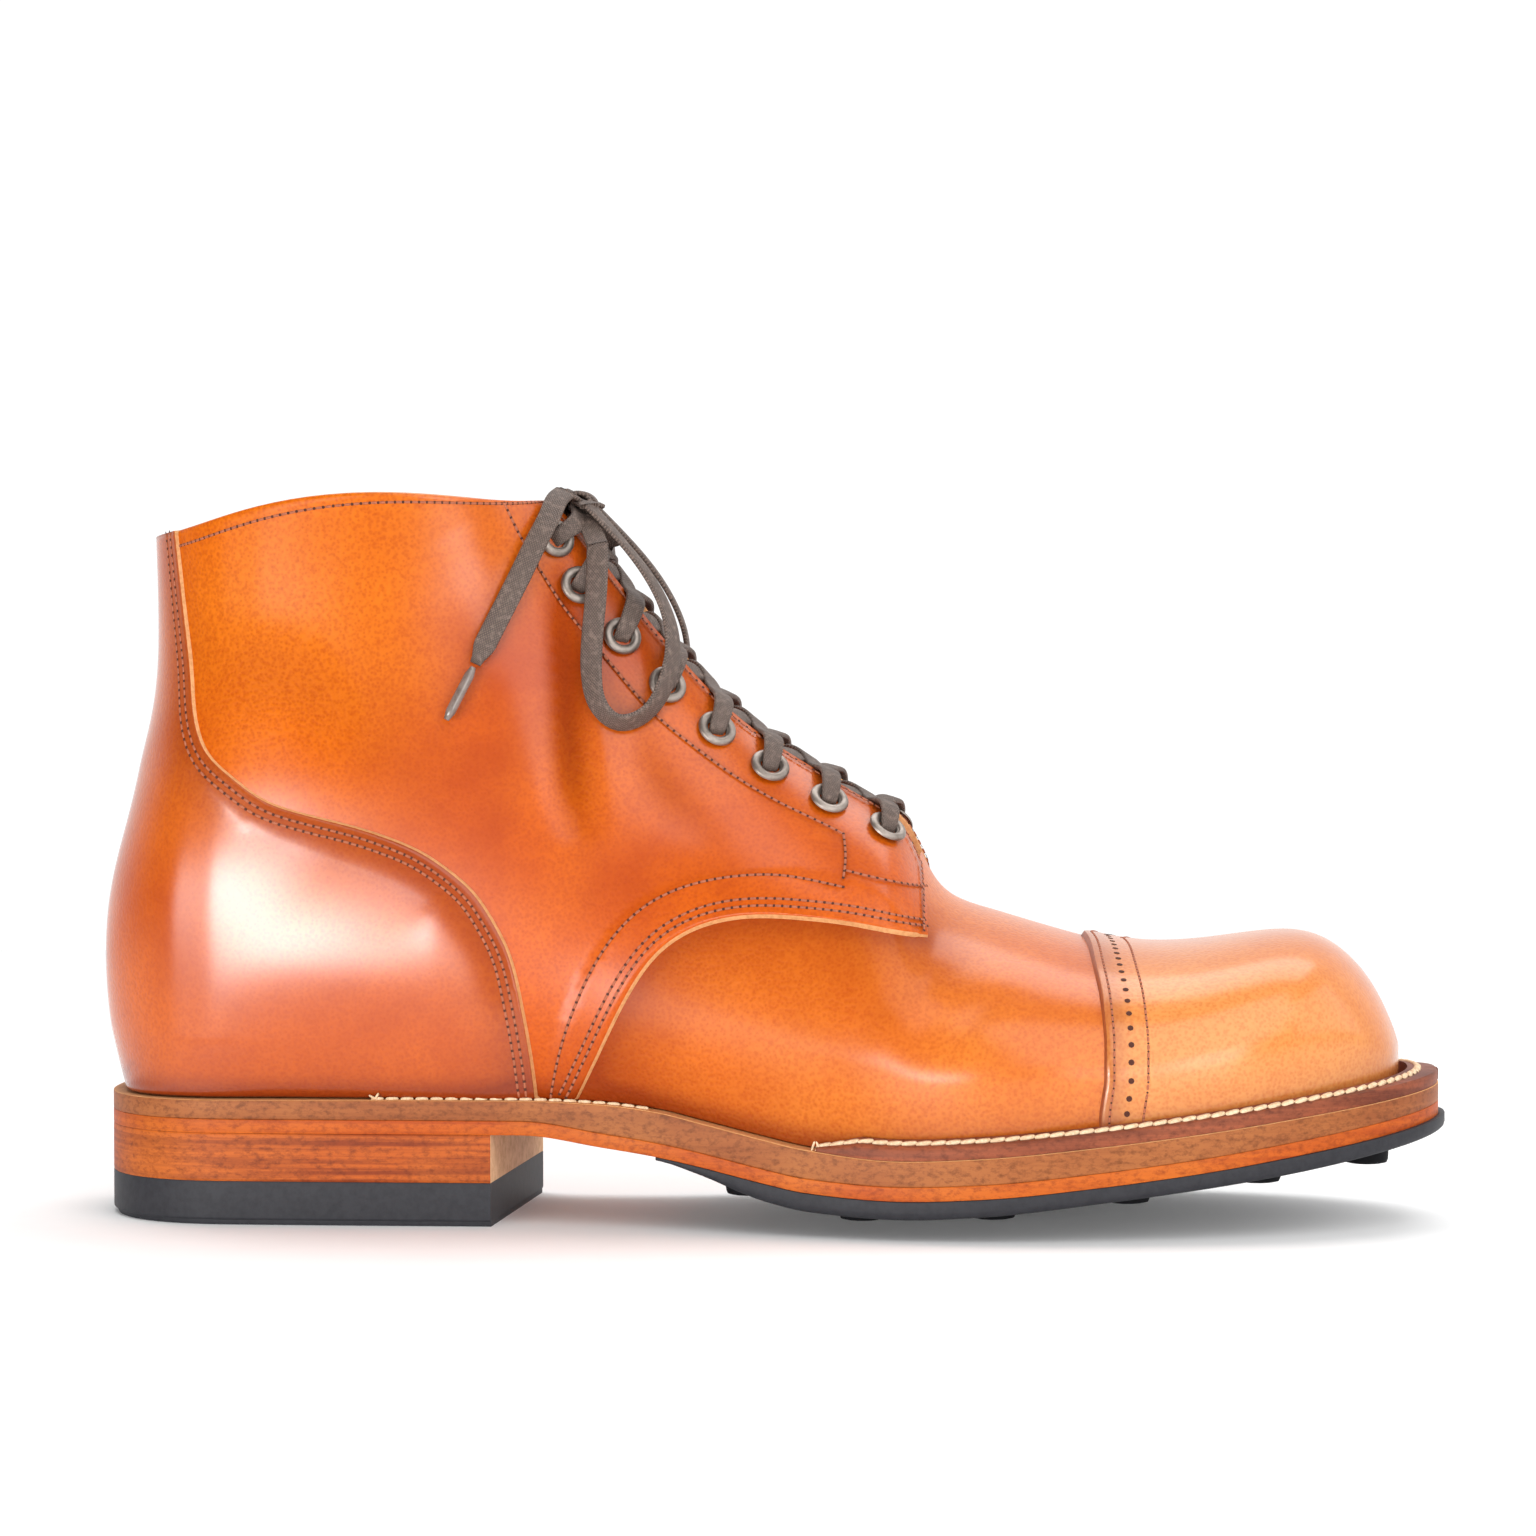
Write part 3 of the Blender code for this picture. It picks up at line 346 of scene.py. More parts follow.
# How much the leather stands out further at the back of the heel
BACK_LIFT = (
    # z, lift
    (28.0, 1.5),
    (38.0, 1.7),
    (52.0, 1.1),
    (65.0, 0.8),
    (78.0, 0.8),
    (95.0, 0.4),
    (118.0, 0.4),
    (140.0, 0.7),
    (160.0, 0.7),
)

# Soft folds of the leather on the outer side: a trough where the depth is above 0
FOLDS = (
    # depth, half width, places in side view as x, z
    (1.9, 4.4, (
        (106.5, 147.0), (107.6, 136.0), (108.6, 126.0), (109.6, 114.0), (110.8, 102.0), (112.5, 92.0),
    )),
    (-0.8, 9.0, ((82.0, 158.0), (87.0, 150.0), (94.0, 136.0), (98.0, 122.0), (99.0, 108.0))),
    (-0.5, 6.0, ((116.5, 128.0), (118.0, 116.0), (121.0, 104.0))),
    (0.7, 4.5, ((124.0, 118.0), (128.0, 106.0), (134.0, 97.5), (141.0, 90.5))),
    (0.25, 3.5, ((178.0, 44.0), (182.0, 50.0), (187.0, 54.0), (193.0, 57.5), (200.0, 59.5))),
    (0.2, 3.0, ((199.0, 44.0), (203.0, 49.0), (208.0, 52.0), (214.0, 53.5))),
    (-0.3, 7.0, ((206.0, 38.0), (216.0, 41.5), (228.0, 42.0))),
    (0.4, 9.0, ((30.0, 130.0), (48.0, 124.0), (66.0, 112.0))),
)


class Curve:
    """Smooth curve through the rows of a table, straight beyond its ends."""

    def __init__(self, knots, values, flat=False):
        self.knots = np.array(knots, float)
        self.values = np.array(values, float)
        steps = np.diff(self.knots)
        rises = np.diff(self.values) / steps
        count = len(self.knots)
        if flat:
            slopes = np.zeros(count)
            slopes[0], slopes[-1] = rises[0], rises[-1]
            for i in range(1, count - 1):
                if rises[i - 1] * rises[i] > 0:
                    slopes[i] = 2 / (1 / rises[i - 1] + 1 / rises[i])
        else:
            grid = np.zeros((count, count))
            side = np.zeros(count)
            grid[0, :2] = (2, 1)
            side[0] = 3 * rises[0]
            grid[-1, -2:] = (1, 2)
            side[-1] = 3 * rises[-1]
            for i in range(1, count - 1):
                grid[i, i - 1:i + 2] = (steps[i], 2 * (steps[i - 1] + steps[i]), steps[i - 1])
                side[i] = 3 * (steps[i] * rises[i - 1] + steps[i - 1] * rises[i])
            slopes = np.linalg.solve(grid, side)
        self.slopes = slopes

    def __call__(self, at):
        at = np.asarray(at, float)
        held = np.clip(at, self.knots[0], self.knots[-1])
        i = np.clip(np.searchsorted(self.knots, held) - 1, 0, len(self.knots) - 2)
        step = self.knots[i + 1] - self.knots[i]
        u = (held - self.knots[i]) / step
        value = (
            (1 + 2 * u) * (1 - u) ** 2 * self.values[i]
            + u * u * (3 - 2 * u) * self.values[i + 1]
            + step * u * (1 - u) ** 2 * self.slopes[i]
            - step * u * u * (1 - u) * self.slopes[i + 1]
        )
        beyond = np.where(at < held, self.slopes[0], self.slopes[-1])
        return value + (at - held) * beyond


def column(table, index, flat=False, key=0):
    return Curve([row[key] for row in table], [row[index] for row in table], flat)


def section_column(index, first=0, last=len(SECTIONS)):
    rows = SECTIONS[first:last]
    return Curve(range(first, first + len(rows)), [row[index] for row in rows])


def run_along(points):
    """Distance run at each point of a line."""
    return np.concatenate(([0], np.cumsum(np.linalg.norm(np.diff(points, axis=0), axis=1))))


def rows_at(at, knots, rows):
    """Rows of a table read between its knots, column by column."""
    return np.stack([np.interp(at, knots, values) for values in np.asarray(rows, float).T], -1)


def smooth_step(low, high, at):
    u = np.clip((np.asarray(at, float) - low) / (high - low), 0, 1)
    return u * u * (3 - 2 * u)


def fade_out(low, high, at):
    return 1 - smooth_step(low, high, at)


# The last
width_of = {OUT: column(SOLE_WIDTHS, 1), IN: column(SOLE_WIDTHS, 2)}
inset_at = column(FEATHER_INSET, 1, True)
midsole_top = column(SOLE_LEVELS, 1, True)
leather_bottom = column(SOLE_LEVELS, 2, True)
rubber_bottom = column(SOLE_LEVELS, 3, True)
low_x = section_column(1, 0, int(CORNER) + 1)
low_z = section_column(2, int(CORNER))
top_x, top_z = section_column(3), section_column(4)
ridge_y = section_column(5)
belly_half = {OUT: section_column(6), IN: section_column(7)}
belly_at = section_column(8)
foot_round = section_column(9)
top_round = section_column(10)
bow_of = section_column(11)
back_x = column(BACK, 1)
half_gap = column(THROAT_GAP, 1, True)
cap_t = column(CAP_EDGE, 0, True, key=1)


def end_round(run, length):
    share = np.clip(1 - np.asarray(run, float) / length, 0, 1)
    return (1 - share ** END_ROUND) ** (1 / END_ROUND)


def sole_half(x, side, length=SOLE_LENGTH, inset=0.0):
    half = width_of[side](x) - inset
    return half * end_round(x - inset, HEEL_END) * end_round(length - inset - x, TOE_END)


def feather_half(x, side):
    half = width_of[side](x) - inset_at(x)
    heel = end_round(x - FEATHER_HEEL_X, FEATHER_HEEL_END)
    return half * heel * end_round(FEATHER_TOE_X - x, FEATHER_TOE_END)


def low_end(t):
    """Low end of sections in side view, on the sole or up the back seam."""
    foot = t <= CORNER
    foot_x = low_x(np.minimum(t, CORNER))
    back_z = low_z(np.maximum(t, CORNER))
    return np.where(foot, foot_x, back_x(back_z)), np.where(foot, midsole_top(foot_x) + GAP, back_z)


def section_point(t, v, side):
    """Points of sections, for arrays of section and height."""
    x0, z0 = low_end(t)
    belly, ridge = belly_at(t), ridge_y(t)
    widest = belly_half[side](t)

    power = foot_round(t)
    start = np.where(t < CORNER, np.minimum(feather_half(x0, side), widest), 0.0)
    u = np.minimum(2 * v, 1.0) ** power
    low_reach = start + (widest - start) * (1 - (1 - u) ** FOOT_FLARE) ** (1 / power)

    turn = np.clip(v - 0.5, 0, 0.5) * math.pi
    round_power = 2 / top_round(t)
    share = np.where(v < 1, np.maximum(np.cos(turn), 0.0) ** round_power, 0.0)
    high = v > 0.5
    s = np.where(high, belly + (1 - belly) * np.sin(turn) ** round_power, belly * u)
    y = np.where(high, ridge + (side * widest - ridge) * share, side * low_reach)

    run_x, run_z = top_x(t) - x0, top_z(t) - z0
    lift = bow_of(t) * 4 * s * (1 - s) / np.maximum(np.hypot(run_x, run_z), 1e-6)
    return np.stack((x0 + run_x * s - run_z * lift, y, z0 + run_z * s + run_x * lift), -1)


def place(t, v, side):
    """Points on the last, eased round the heel's corner."""
    t, v = np.broadcast_arrays(np.asarray(t, float), np.asarray(v, float))
    v = np.clip(v, 0, 1)
    near = np.maximum(1 - ((t - CORNER) / EASE_REACH) ** 2, 0.0)
    share = np.minimum(v / EASE_HEIGHT, 1.0)
    step = EASE_STEP * near * share * share * (3 - 2 * share)
    return sum(weight * section_point(t + turns * step, v, side) for weight, turns in EASE)


def unit(way):
    return way / np.maximum(np.linalg.norm(way, axis=-1, keepdims=True), 1e-9)


def normal(t, v, side):
    """Directions out of the last."""
    t, v = np.broadcast_arrays(np.asarray(t, float), np.asarray(v, float))
    dt, dv = 0.01, 0.004
    along = place(t + dt, v, side) - place(np.maximum(t - dt, 0), v, side)
    base = np.maximum(t, 0.02)
    across = place(base, np.minimum(v + dv, 1), side) - place(base, np.maximum(v - dv, 0), side)
    way = side * np.cross(along, across)
    flat = np.stack((along[..., 2], np.zeros_like(t), -along[..., 0]), -1)
    ridge = flat * np.where(flat[..., 2:] > 0, 1, -1)
    spine = flat * np.where(flat[..., :1] < 0, 1, -1)
    tip = np.stack((across[..., 2], np.zeros_like(t), -across[..., 0]), -1)
    way = np.where((v > 0.999)[..., None], ridge, way)
    way = np.where(((v < 0.001) & (t >= CORNER))[..., None], spine, way)
    way = np.where((t < 0.02)[..., None], tip, way)
    return unit(way)


def skin(t, v, side, lift=0.0):
    """Points over the last by a lift, held above the sole."""
    point = place(t, v, side)
    point = point + np.asarray(lift, float)[..., None] * normal(t, v, side)
    point[..., 2] = np.maximum(point[..., 2], midsole_top(point[..., 0]) + GAP)
    return point


def facing_v(t):
    """Height of the facing's edge."""
    gap = np.minimum(half_gap(t) / (belly_half[OUT](t) + ridge_y(t)), 1.0)
    return 0.5 + np.arccos(gap ** (top_round(t) / 2)) / math.pi


def height_of(t, s):
    """Height of a share of the way from the low end to the top."""
    belly = belly_at(t)
    low = 0.5 * np.maximum(s / belly, 0.0) ** (1 / foot_round(t))
    share = np.clip((s - belly) / (1 - belly), 0, 1)
    return np.where(s <= belly, low, 0.5 + np.arcsin(share ** (top_round(t) / 2)) / math.pi)


def locate(x, z):
    """Sections and heights of places in side view."""
    def ends(t):
        x0, z0 = low_end(t)
        return x0, z0, top_x(t) - x0, top_z(t) - z0

    first, last = np.full(x.shape, 0.5), np.full(x.shape, LAST + 0.5)
    for _ in range(40):
        t = (first + last) / 2
        x0, z0, run_x, run_z = ends(t)
        ahead = run_x * (z - z0) - run_z * (x - x0) > 0
        first, last = np.where(ahead, t, first), np.where(ahead, last, t)
    x0, z0, run_x, run_z = ends(t)
    s = ((x - x0) * run_x + (z - z0) * run_z) / (run_x ** 2 + run_z ** 2)
    dt, ds = 0.02, 0.005
    for _ in range(8):
        here = place(t, height_of(t, s), OUT)
        by_t = (place(t + dt, height_of(t + dt, s), OUT) - here) / dt
        by_s = (place(t, height_of(t, s + ds), OUT) - here) / ds
        miss_x, miss_z = x - here[..., 0], z - here[..., 2]
        size = by_t[..., 0] * by_s[..., 2] - by_s[..., 0] * by_t[..., 2]
        size = np.where(np.abs(size) < 1e-6, 1e-6, size)
        t = t + np.clip((miss_x * by_s[..., 2] - by_s[..., 0] * miss_z) / size, -0.3, 0.3)
        s = np.clip(s + np.clip((by_t[..., 0] * miss_z - miss_x * by_t[..., 2]) / size, -0.1, 0.1), 0, 0.99)
    return t, height_of(t, s)


def spaced(t, v, spacing):
    """Line on the last at equal steps."""
    points = place(t, v, OUT)
    run = run_along(points)
    at = np.linspace(0, run[-1], max(int(round(run[-1] / spacing)), 2) + 1)
    return np.interp(at, run, t), np.interp(at, run, v)


def evenly_along(table, spacing):
    """Sections and heights at equal steps along a smooth line given in side view."""
    rows = np.array(table, float)
    knots = run_along(rows)
    fine = np.linspace(0, knots[-1], 24 * len(table))
    return spaced(*locate(Curve(knots, rows[:, 0])(fine), Curve(knots, rows[:, 1])(fine)), spacing)


def with_corner(table, corner, spacing):
    """Line on the last with a sharp corner at one row."""
    low, high = evenly_along(table[:corner + 1], spacing), evenly_along(table[corner:], spacing)
    return np.concatenate((low[0], high[0][1:])), np.concatenate((low[1], high[1][1:]))


def round_cap(spacing):
    """Sections and heights at equal steps along the cap's edge."""
    v = np.linspace(0, 1, 200)
    return spaced(cap_t(v), v, spacing)


def collar_t(v):
    """Section of the rim, a little higher between the back and the facing."""
    return LAST + COLLAR_RISE * np.sin(np.pi * np.clip((v - 0.22) / 0.66, 0, 1)) ** 2


def beside(t, v, side, offset):
    """Line on the last moved sideways by a distance, to the right of its run seen from outside."""
    point = place(t, v, side)
    run = unit(np.gradient(point, axis=0))
    goal = point - side * np.cross(run, normal(t, v, side)) * np.asarray(offset, float).reshape(-1, 1)
    dt, dv = 0.02, 0.003
    for _ in range(5):
        by_t = (place(t + dt, v, side) - place(t - dt, v, side)) / (2 * dt)
        low, high = np.maximum(v - dv, 0), np.minimum(v + dv, 1)
        by_v = (place(t, high, side) - place(t, low, side)) / (high - low)[:, None]
        grid = np.stack((by_t, by_v), -1)
        step = np.einsum("nij,nj->ni", np.linalg.pinv(grid), goal - place(t, v, side))
        t, v = t + step[:, 0], np.clip(v + step[:, 1], 0, 1)
    return t, v


# Meshes
MERGE = 0.003
SHIFT = np.array((
    -(SOLE_LENGTH - HEEL_OVERHANG) / 2,
    (width_of[OUT](np.arange(190, 230)).max() - width_of[IN](np.arange(190, 240)).max()) / 2,
    0.0,
))


def metres(points):
    return (np.asarray(points, float) + SHIFT) * MM


def merge(mesh, dissolve=True):
    """Join the points that meet and turn all faces outward."""
    bm = bmesh.new()
    bm.from_mesh(mesh)
    bmesh.ops.remove_doubles(bm, verts=bm.verts, dist=MERGE * MM)
    if dissolve:
        bmesh.ops.dissolve_degenerate(bm, edges=bm.edges, dist=MERGE / 3 * MM)
    bmesh.ops.recalc_face_normals(bm, faces=bm.faces)
    bm.to_mesh(mesh)
    bm.free()


def new_object(name, points, faces, materials, marks=None, weld=True):
    mesh = bpy.data.meshes.new(name)
    mesh.from_pydata(metres(points).tolist(), [], faces)
    for material in materials:
        mesh.materials.append(material)
    if marks is not None:
        mesh.polygons.foreach_set("material_index", np.asarray(marks, np.int32))
    thing = bpy.data.objects.new(name, mesh)
    bpy.context.scene.collection.objects.link(thing)
    if weld:
        merge(mesh)
    mesh.shade_smooth()
    return thing


def grid_faces(rows, cols, first=0, loop_rows=False, loop_cols=False):
    faces = []
    for i in range(rows if loop_rows else rows - 1):
        for j in range(cols if loop_cols else cols - 1):
            a, b = (i + 1) % rows, (j + 1) % cols
            corners = ((i, j), (i, b), (a, b), (a, j))
            faces.append(tuple(first + row * cols + col for row, col in corners))
    return faces


def tube_faces(rows, cols, first=0):
    """Faces of rings of points, closed at both ends."""
    low = tuple(first + k for k in range(cols))
    high = tuple(first + (rows - 1) * cols + k for k in reversed(range(cols)))
    return grid_faces(rows, cols, first, loop_cols=True) + [low, high]


def dressed(thing, slot, *nodes):
    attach(thing, "root")
    if nodes:
        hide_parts(*nodes)
    return thing


def grids_object(name, grids, materials, marks=None, shade_and_edge_darkening=None, dulls=None):
    """One object from several grids of points, each with its own face marks."""
    points, faces, all_marks = [], [], []
    for k, grid in enumerate(grids):
        rows, cols = grid.shape[:2]
        faces += grid_faces(rows, cols, sum(len(p) for p in points))
        points.append(grid.reshape(-1, 3))
        mark = np.zeros((rows - 1, cols - 1), int) if marks is None else marks[k]
        all_marks.append(np.asarray(mark).reshape(-1))
    thing = new_object(name, np.concatenate(points), faces, materials, np.concatenate(all_marks), weld=False)
    # carried per point: painted shade with darker edges, and the dull that takes away coat
    for word, values in (("painted_shade_and_edge_darkening", shade_and_edge_darkening), ("dull", dulls)):
        if values is not None:
            spread = [
                np.broadcast_to(value, grid.shape[:2]).reshape(-1) for value, grid in zip(values, grids)
            ]
            layer = thing.data.attributes.new(word, "FLOAT", "POINT")
            layer.data.foreach_set("value", np.concatenate(spread).astype(np.float32))
    merge(thing.data, dissolve=False)
    thing.data.shade_smooth()
    return thing


def distance_to(line, x, z):
    """Distance in side view to a line of places, and the share of the way along it."""
    best = np.full(x.shape, 1e9)
    along = np.zeros(x.shape)
    for i, ((xa, za), (xb, zb)) in enumerate(zip(line, line[1:])):
        dx, dz = xb - xa, zb - za
        u = np.clip(((x - xa) * dx + (z - za) * dz) / (dx * dx + dz * dz), 0, 1)
        gap = np.hypot(x - xa - u * dx, z - za - u * dz)
        nearer = gap < best
        best = np.where(nearer, gap, best)
        along = np.where(nearer, (i + u) / (len(line) - 1), along)
    return best, along


def folds(points):
    """Lift of the leather from its folds."""
    x, z = points[..., 0], points[..., 2]
    total = np.zeros(x.shape)
    for depth, half, line in FOLDS:
        gap, along = distance_to(line, x, z)
        fade = np.sin(np.pi * (0.12 + 0.76 * along))
        total -= depth * fade * np.exp(-(gap / half) ** 2)
    return total


# Materials
LEATHER_SHINE = 0.05
GRAIN = 0.5
FINE = 0.0002


class Look:
    """A material, and the nodes that make its colour, shine and bumps."""

    def __init__(self, name):
        self.material = bpy.data.materials.new(name)
        self.material.use_nodes = True
        self.nodes = self.material.node_tree.nodes
        self.link = self.material.node_tree.links.new
        self.shader = self.nodes["Principled BSDF"]
        self.where = self.add("ShaderNodeTexCoord").outputs["Object"]
        self.normal = None

    def add(self, kind, **values):
        """Node with some inputs or settings filled in."""
        node = self.nodes.new(kind)
        for key, value in values.items():
            if key in node.inputs:
                node.inputs[key].default_value = value
            else:
                setattr(node, key.lower(), value)
        return node

    def texture(self, kind, where, **values):
        node = self.add(kind, **values)
        self.link(where, node.inputs["Vector"])
        return node

    def noise(self, scale, detail, rough=0.5, stretch=None):
        """Noise over the object, which may be stretched first."""
        where = self.where
        if stretch:
            where = self.texture("ShaderNodeMapping", where, Scale=stretch).outputs["Vector"]
        node = self.texture("ShaderNodeTexNoise", where, Scale=scale, Detail=detail, Roughness=rough)
        return node.outputs["Fac"]

    def carried(self, word, output="Fac"):
        """Value that the mesh carries under a word."""
        return self.add("ShaderNodeAttribute", attribute_name=word).outputs[output]

    def ramp(self, source, low, high):
        """Grey between two stops, each a place and a grey."""
        node = self.add("ShaderNodeValToRGB")
        for element, (at, grey) in zip(node.color_ramp.elements, (low, high)):
            element.position = at
            element.color = (grey, grey, grey, 1)
        self.link(source, node.inputs["Fac"])
        return node.outputs["Color"]

    def mixed(self, share, one, two):
        """Colour between two, each a colour or a socket, by the share from a socket."""
        node = self.add("ShaderNodeMix", data_type="RGBA")
        for slot, value in ((0, share), (6, one), (7, two)):
            if isinstance(value, tuple):
                node.inputs[slot].default_value = (*value, 1)
            else:
                self.link(value, node.inputs[slot])
        return node.outputs[2]

    def ranged(self, source, low, high, key):
        """Let a value from 0 to 1 move one of the shader's inputs between two."""
        node = self.add("ShaderNodeMapRange", **{"To Min": low, "To Max": high})
        self.link(source, node.inputs["Value"])
        self.link(node.outputs["Result"], self.shader.inputs[key])

    def bump(self, height, strength, distance):
        """Bumps on top of those there are."""
        node = self.add("ShaderNodeBump", Strength=strength, Distance=distance)
        self.link(height, node.inputs["Height"])
        if self.normal is not None:
            self.link(self.normal, node.inputs["Normal"])
        self.normal = node.outputs["Normal"]
        self.link(self.normal, self.shader.inputs["Normal"])

    def done(self, colour, values):
        self.link(colour, self.shader.inputs["Base Color"])
        fill(self.shader, values)
        return self.material


def fill(node, values):
    for key, value in values.items():
        node.inputs[key].default_value = value


def leather(name, base, dark, light, rough=0.45, coat=0.9, gloss=0.24):
    """Polished leather: cloudy colour, pores and grain, darker by the painted shade and darker edges carried
    on the mesh, and less polished by the dull.
    """
    look = Look(name)
    clouds = look.noise(24.0, 5.0, 0.62)
    wide = look.noise(9.0, 3.0)
    specks = look.noise(700.0, 3.0, 0.6)
    cells = look.texture("ShaderNodeTexVoronoi", look.where, Scale=1250.0, feature="SMOOTH_F1")
    pores = cells.outputs["Distance"]
    colour = look.mixed(look.ramp(clouds, (0.36, 0.0), (0.68, 0.85)), base, dark)
    colour = look.mixed(look.ramp(wide, (0.45, 0.0), (0.72, 0.8)), colour, light)
    colour = look.mixed(look.ramp(specks, (0.50, 0.0), (0.72, 0.35)), colour, dark)
    colour = look.mixed(look.ramp(pores, (0.18, 0.42), (0.55, 0.0)), colour, dark)
    # painted shade near the sole and in the fold troughs, with darker leather along seams and edges, mixed
    # towards a deep red-brown
    colour = look.mixed(look.carried("painted_shade_and_edge_darkening"), colour, (0.42 * dark[0], 0.3 * dark[1], dark[2]))
    look.ranged(clouds, rough - 0.06, rough + 0.1, "Roughness")
    look.ranged(look.carried("dull"), coat, 0.0, "Coat Weight")
    look.bump(pores, GRAIN, 0.00035)
    look.bump(specks, 0.1, FINE)
    return look.done(colour, {"Coat Roughness": gloss, "Specular IOR Level": LEATHER_SHINE})


def layered(name, base, dark, light, bands=0.9):
    """Cut edge of sole leather: fine specks, and streaks along the layers."""
    look = Look(name)
    streaks = look.noise(1.0, 4.0, 0.6, (14.0, 14.0, 620.0))
    specks = look.noise(1.0, 4.0, 0.7, (520.0, 520.0, 900.0))
    clouds = look.noise(30.0, 3.0)
    colour = look.mixed(look.ramp(streaks, (0.42, 0.0), (0.60, bands)), base, dark)
    colour = look.mixed(look.ramp(clouds, (0.45, 0.0), (0.75, 0.6)), colour, light)
    deep = tuple(0.6 * part for part in dark)
    colour = look.mixed(look.ramp(specks, (0.46, 0.0), (0.70, 0.7)), colour, deep)
    look.bump(specks, 0.25, FINE)
    return look.done(colour, {"Roughness": 0.5, "Specular IOR Level": 0.2})


def plain(name, base, dark, rough, scale, metal=0.0, depth=0.2, coat=0.0, shine=0.5):
    """Base colour with fine spots, for rubber, thread, metal and raw edges."""
    look = Look(name)
    specks = look.noise(scale, 4.0, 0.65)
    colour = look.mixed(look.ramp(specks, (0.40, 0.0), (0.70, 1.0)), base, dark)
    look.bump(specks, depth, FINE)
    values = {"Roughness": rough, "Metallic": metal, "Specular IOR Level": shine, "Coat Weight": coat}
    return look.done(colour, values)


def woven(name, base, dark):
    """Flat lace: two families of slanting threads, from its run and width."""
    look = Look(name)
    weave = look.carried("weave", "Vector")
    both = look.add("ShaderNodeMath", operation="MULTIPLY")
    for slot, turn in enumerate((0.9, -0.9)):
        slanted = look.texture("ShaderNodeMapping", weave, Rotation=(0, 0, turn)).outputs["Vector"]
        wave = look.texture("ShaderNodeTexWave", slanted, Scale=0.62, Distortion=0.6, **{"Detail Scale": 2.0})
        look.link(wave.outputs["Fac"], both.inputs[slot])
    fuzz = look.noise(900.0, 3.0)
    colour = look.mixed(both.outputs[0], dark, base)
    pale = tuple(1.35 * part for part in base)
    colour = look.mixed(look.ramp(fuzz, (0.5, 0.0), (0.75, 0.6)), colour, pale)
    look.bump(both.outputs[0], 0.5, 0.0003)
    look.bump(fuzz, 0.2, FINE)
    return look.done(colour, {"Roughness": 0.62})


ORANGE = leather("tan_leather", (0.58, 0.100, 0.002), (0.38, 0.046, 0.001), (0.70, 0.18, 0.008))
# the quarters' tan leather made lighter and paler on the vamp: painted sheen standing in for the broad haze
# of the main light
VAMP = leather("vamp_leather_painted_sheen", (0.62, 0.135, 0.010), (0.43, 0.062, 0.003), (0.71, 0.22, 0.025))
COUNTER = leather(
    "counter_leather", (0.56, 0.103, 0.004), (0.38, 0.050, 0.002), (0.64, 0.16, 0.010), coat=1.0, gloss=0.2
)
# the cap's own lighter tan, made paler still: painted sheen standing in for its highlights
TOE = leather(
    "cap_leather_painted_sheen", (0.63, 0.190, 0.036), (0.50, 0.110, 0.014), (0.72, 0.32, 0.085), coat=1.0, gloss=0.22
)
LINING = leather(
    "lining_leather", (0.58, 0.28, 0.12), (0.44, 0.18, 0.07), (0.66, 0.35, 0.17), rough=0.6, coat=0.0
)
RAW = plain("raw_edge", (0.66, 0.32, 0.125), (0.50, 0.21, 0.065), 0.7, 900.0)
BURNT = plain("burnished_edge", (0.32, 0.07, 0.015), (0.22, 0.042, 0.010), 0.45, 700.0)
MIDSOLE = layered("midsole_edge", (0.31, 0.094, 0.027), (0.17, 0.040, 0.011), (0.43, 0.155, 0.042), bands=0.4)
OUTSOLE = layered("outsole_edge", (0.47, 0.088, 0.007), (0.32, 0.043, 0.004), (0.58, 0.165, 0.016), bands=0.6)
STACK = layered("stack_edge", (0.45, 0.090, 0.009), (0.20, 0.029, 0.004), (0.54, 0.145, 0.022))
# breast face of the heel: partly its own light tan, partly painted light, made lighter to make up for the
# shade it sits in under the arch
BREAST = plain("breast_leather_painted_light", (0.90, 0.56, 0.31), (0.70, 0.38, 0.18), 0.7, 420.0)
WELT_LOOK = layered("welt_leather", (0.24, 0.060, 0.026), (0.13, 0.030, 0.014), (0.40, 0.11, 0.045))
RUBBER = plain("rubber", (0.026, 0.026, 0.031), (0.018, 0.018, 0.022), 0.55, 500.0, shine=0.25)
# studs: the half sole's rubber made darker, painted shade of the contact shadow under the sole
TREAD = plain("stud_rubber_painted_shade", (0.010, 0.010, 0.012), (0.007, 0.007, 0.008), 0.7, 500.0, shine=0.1)
METAL = plain("eyelet_metal", (0.37, 0.32, 0.285), (0.20, 0.165, 0.14), 0.48, 260.0, metal=1.0, depth=0.05)
THREAD = plain("thread", (0.42, 0.125, 0.055), (0.30, 0.08, 0.035), 0.7, 1500.0)
CREAM = plain("welt_thread", (0.82, 0.63, 0.42), (0.58, 0.38, 0.20), 0.75, 1200.0)
# stitch and brogue holes: flat dark spots, painted shade standing in for the depth of each hole
PIT = plain("stitch_hole", (0.075, 0.018, 0.008), (0.05, 0.012, 0.005), 0.9, 900.0)
LACE = woven("lace", (0.20, 0.140, 0.112), (0.065, 0.044, 0.035))
TIP = plain("aglet", (0.20, 0.155, 0.135), (0.12, 0.09, 0.075), 0.22, 600.0, depth=0.1, coat=0.6)
FLOOR = plain("floor", (0.92, 0.92, 0.92), (0.90, 0.90, 0.90), 0.9, 40.0, depth=0.0)
fill(
    FLOOR.node_tree.nodes["Principled BSDF"],
    {"Emission Color": (1.0, 1.0, 1.0, 1), "Emission Strength": 0.06},
)


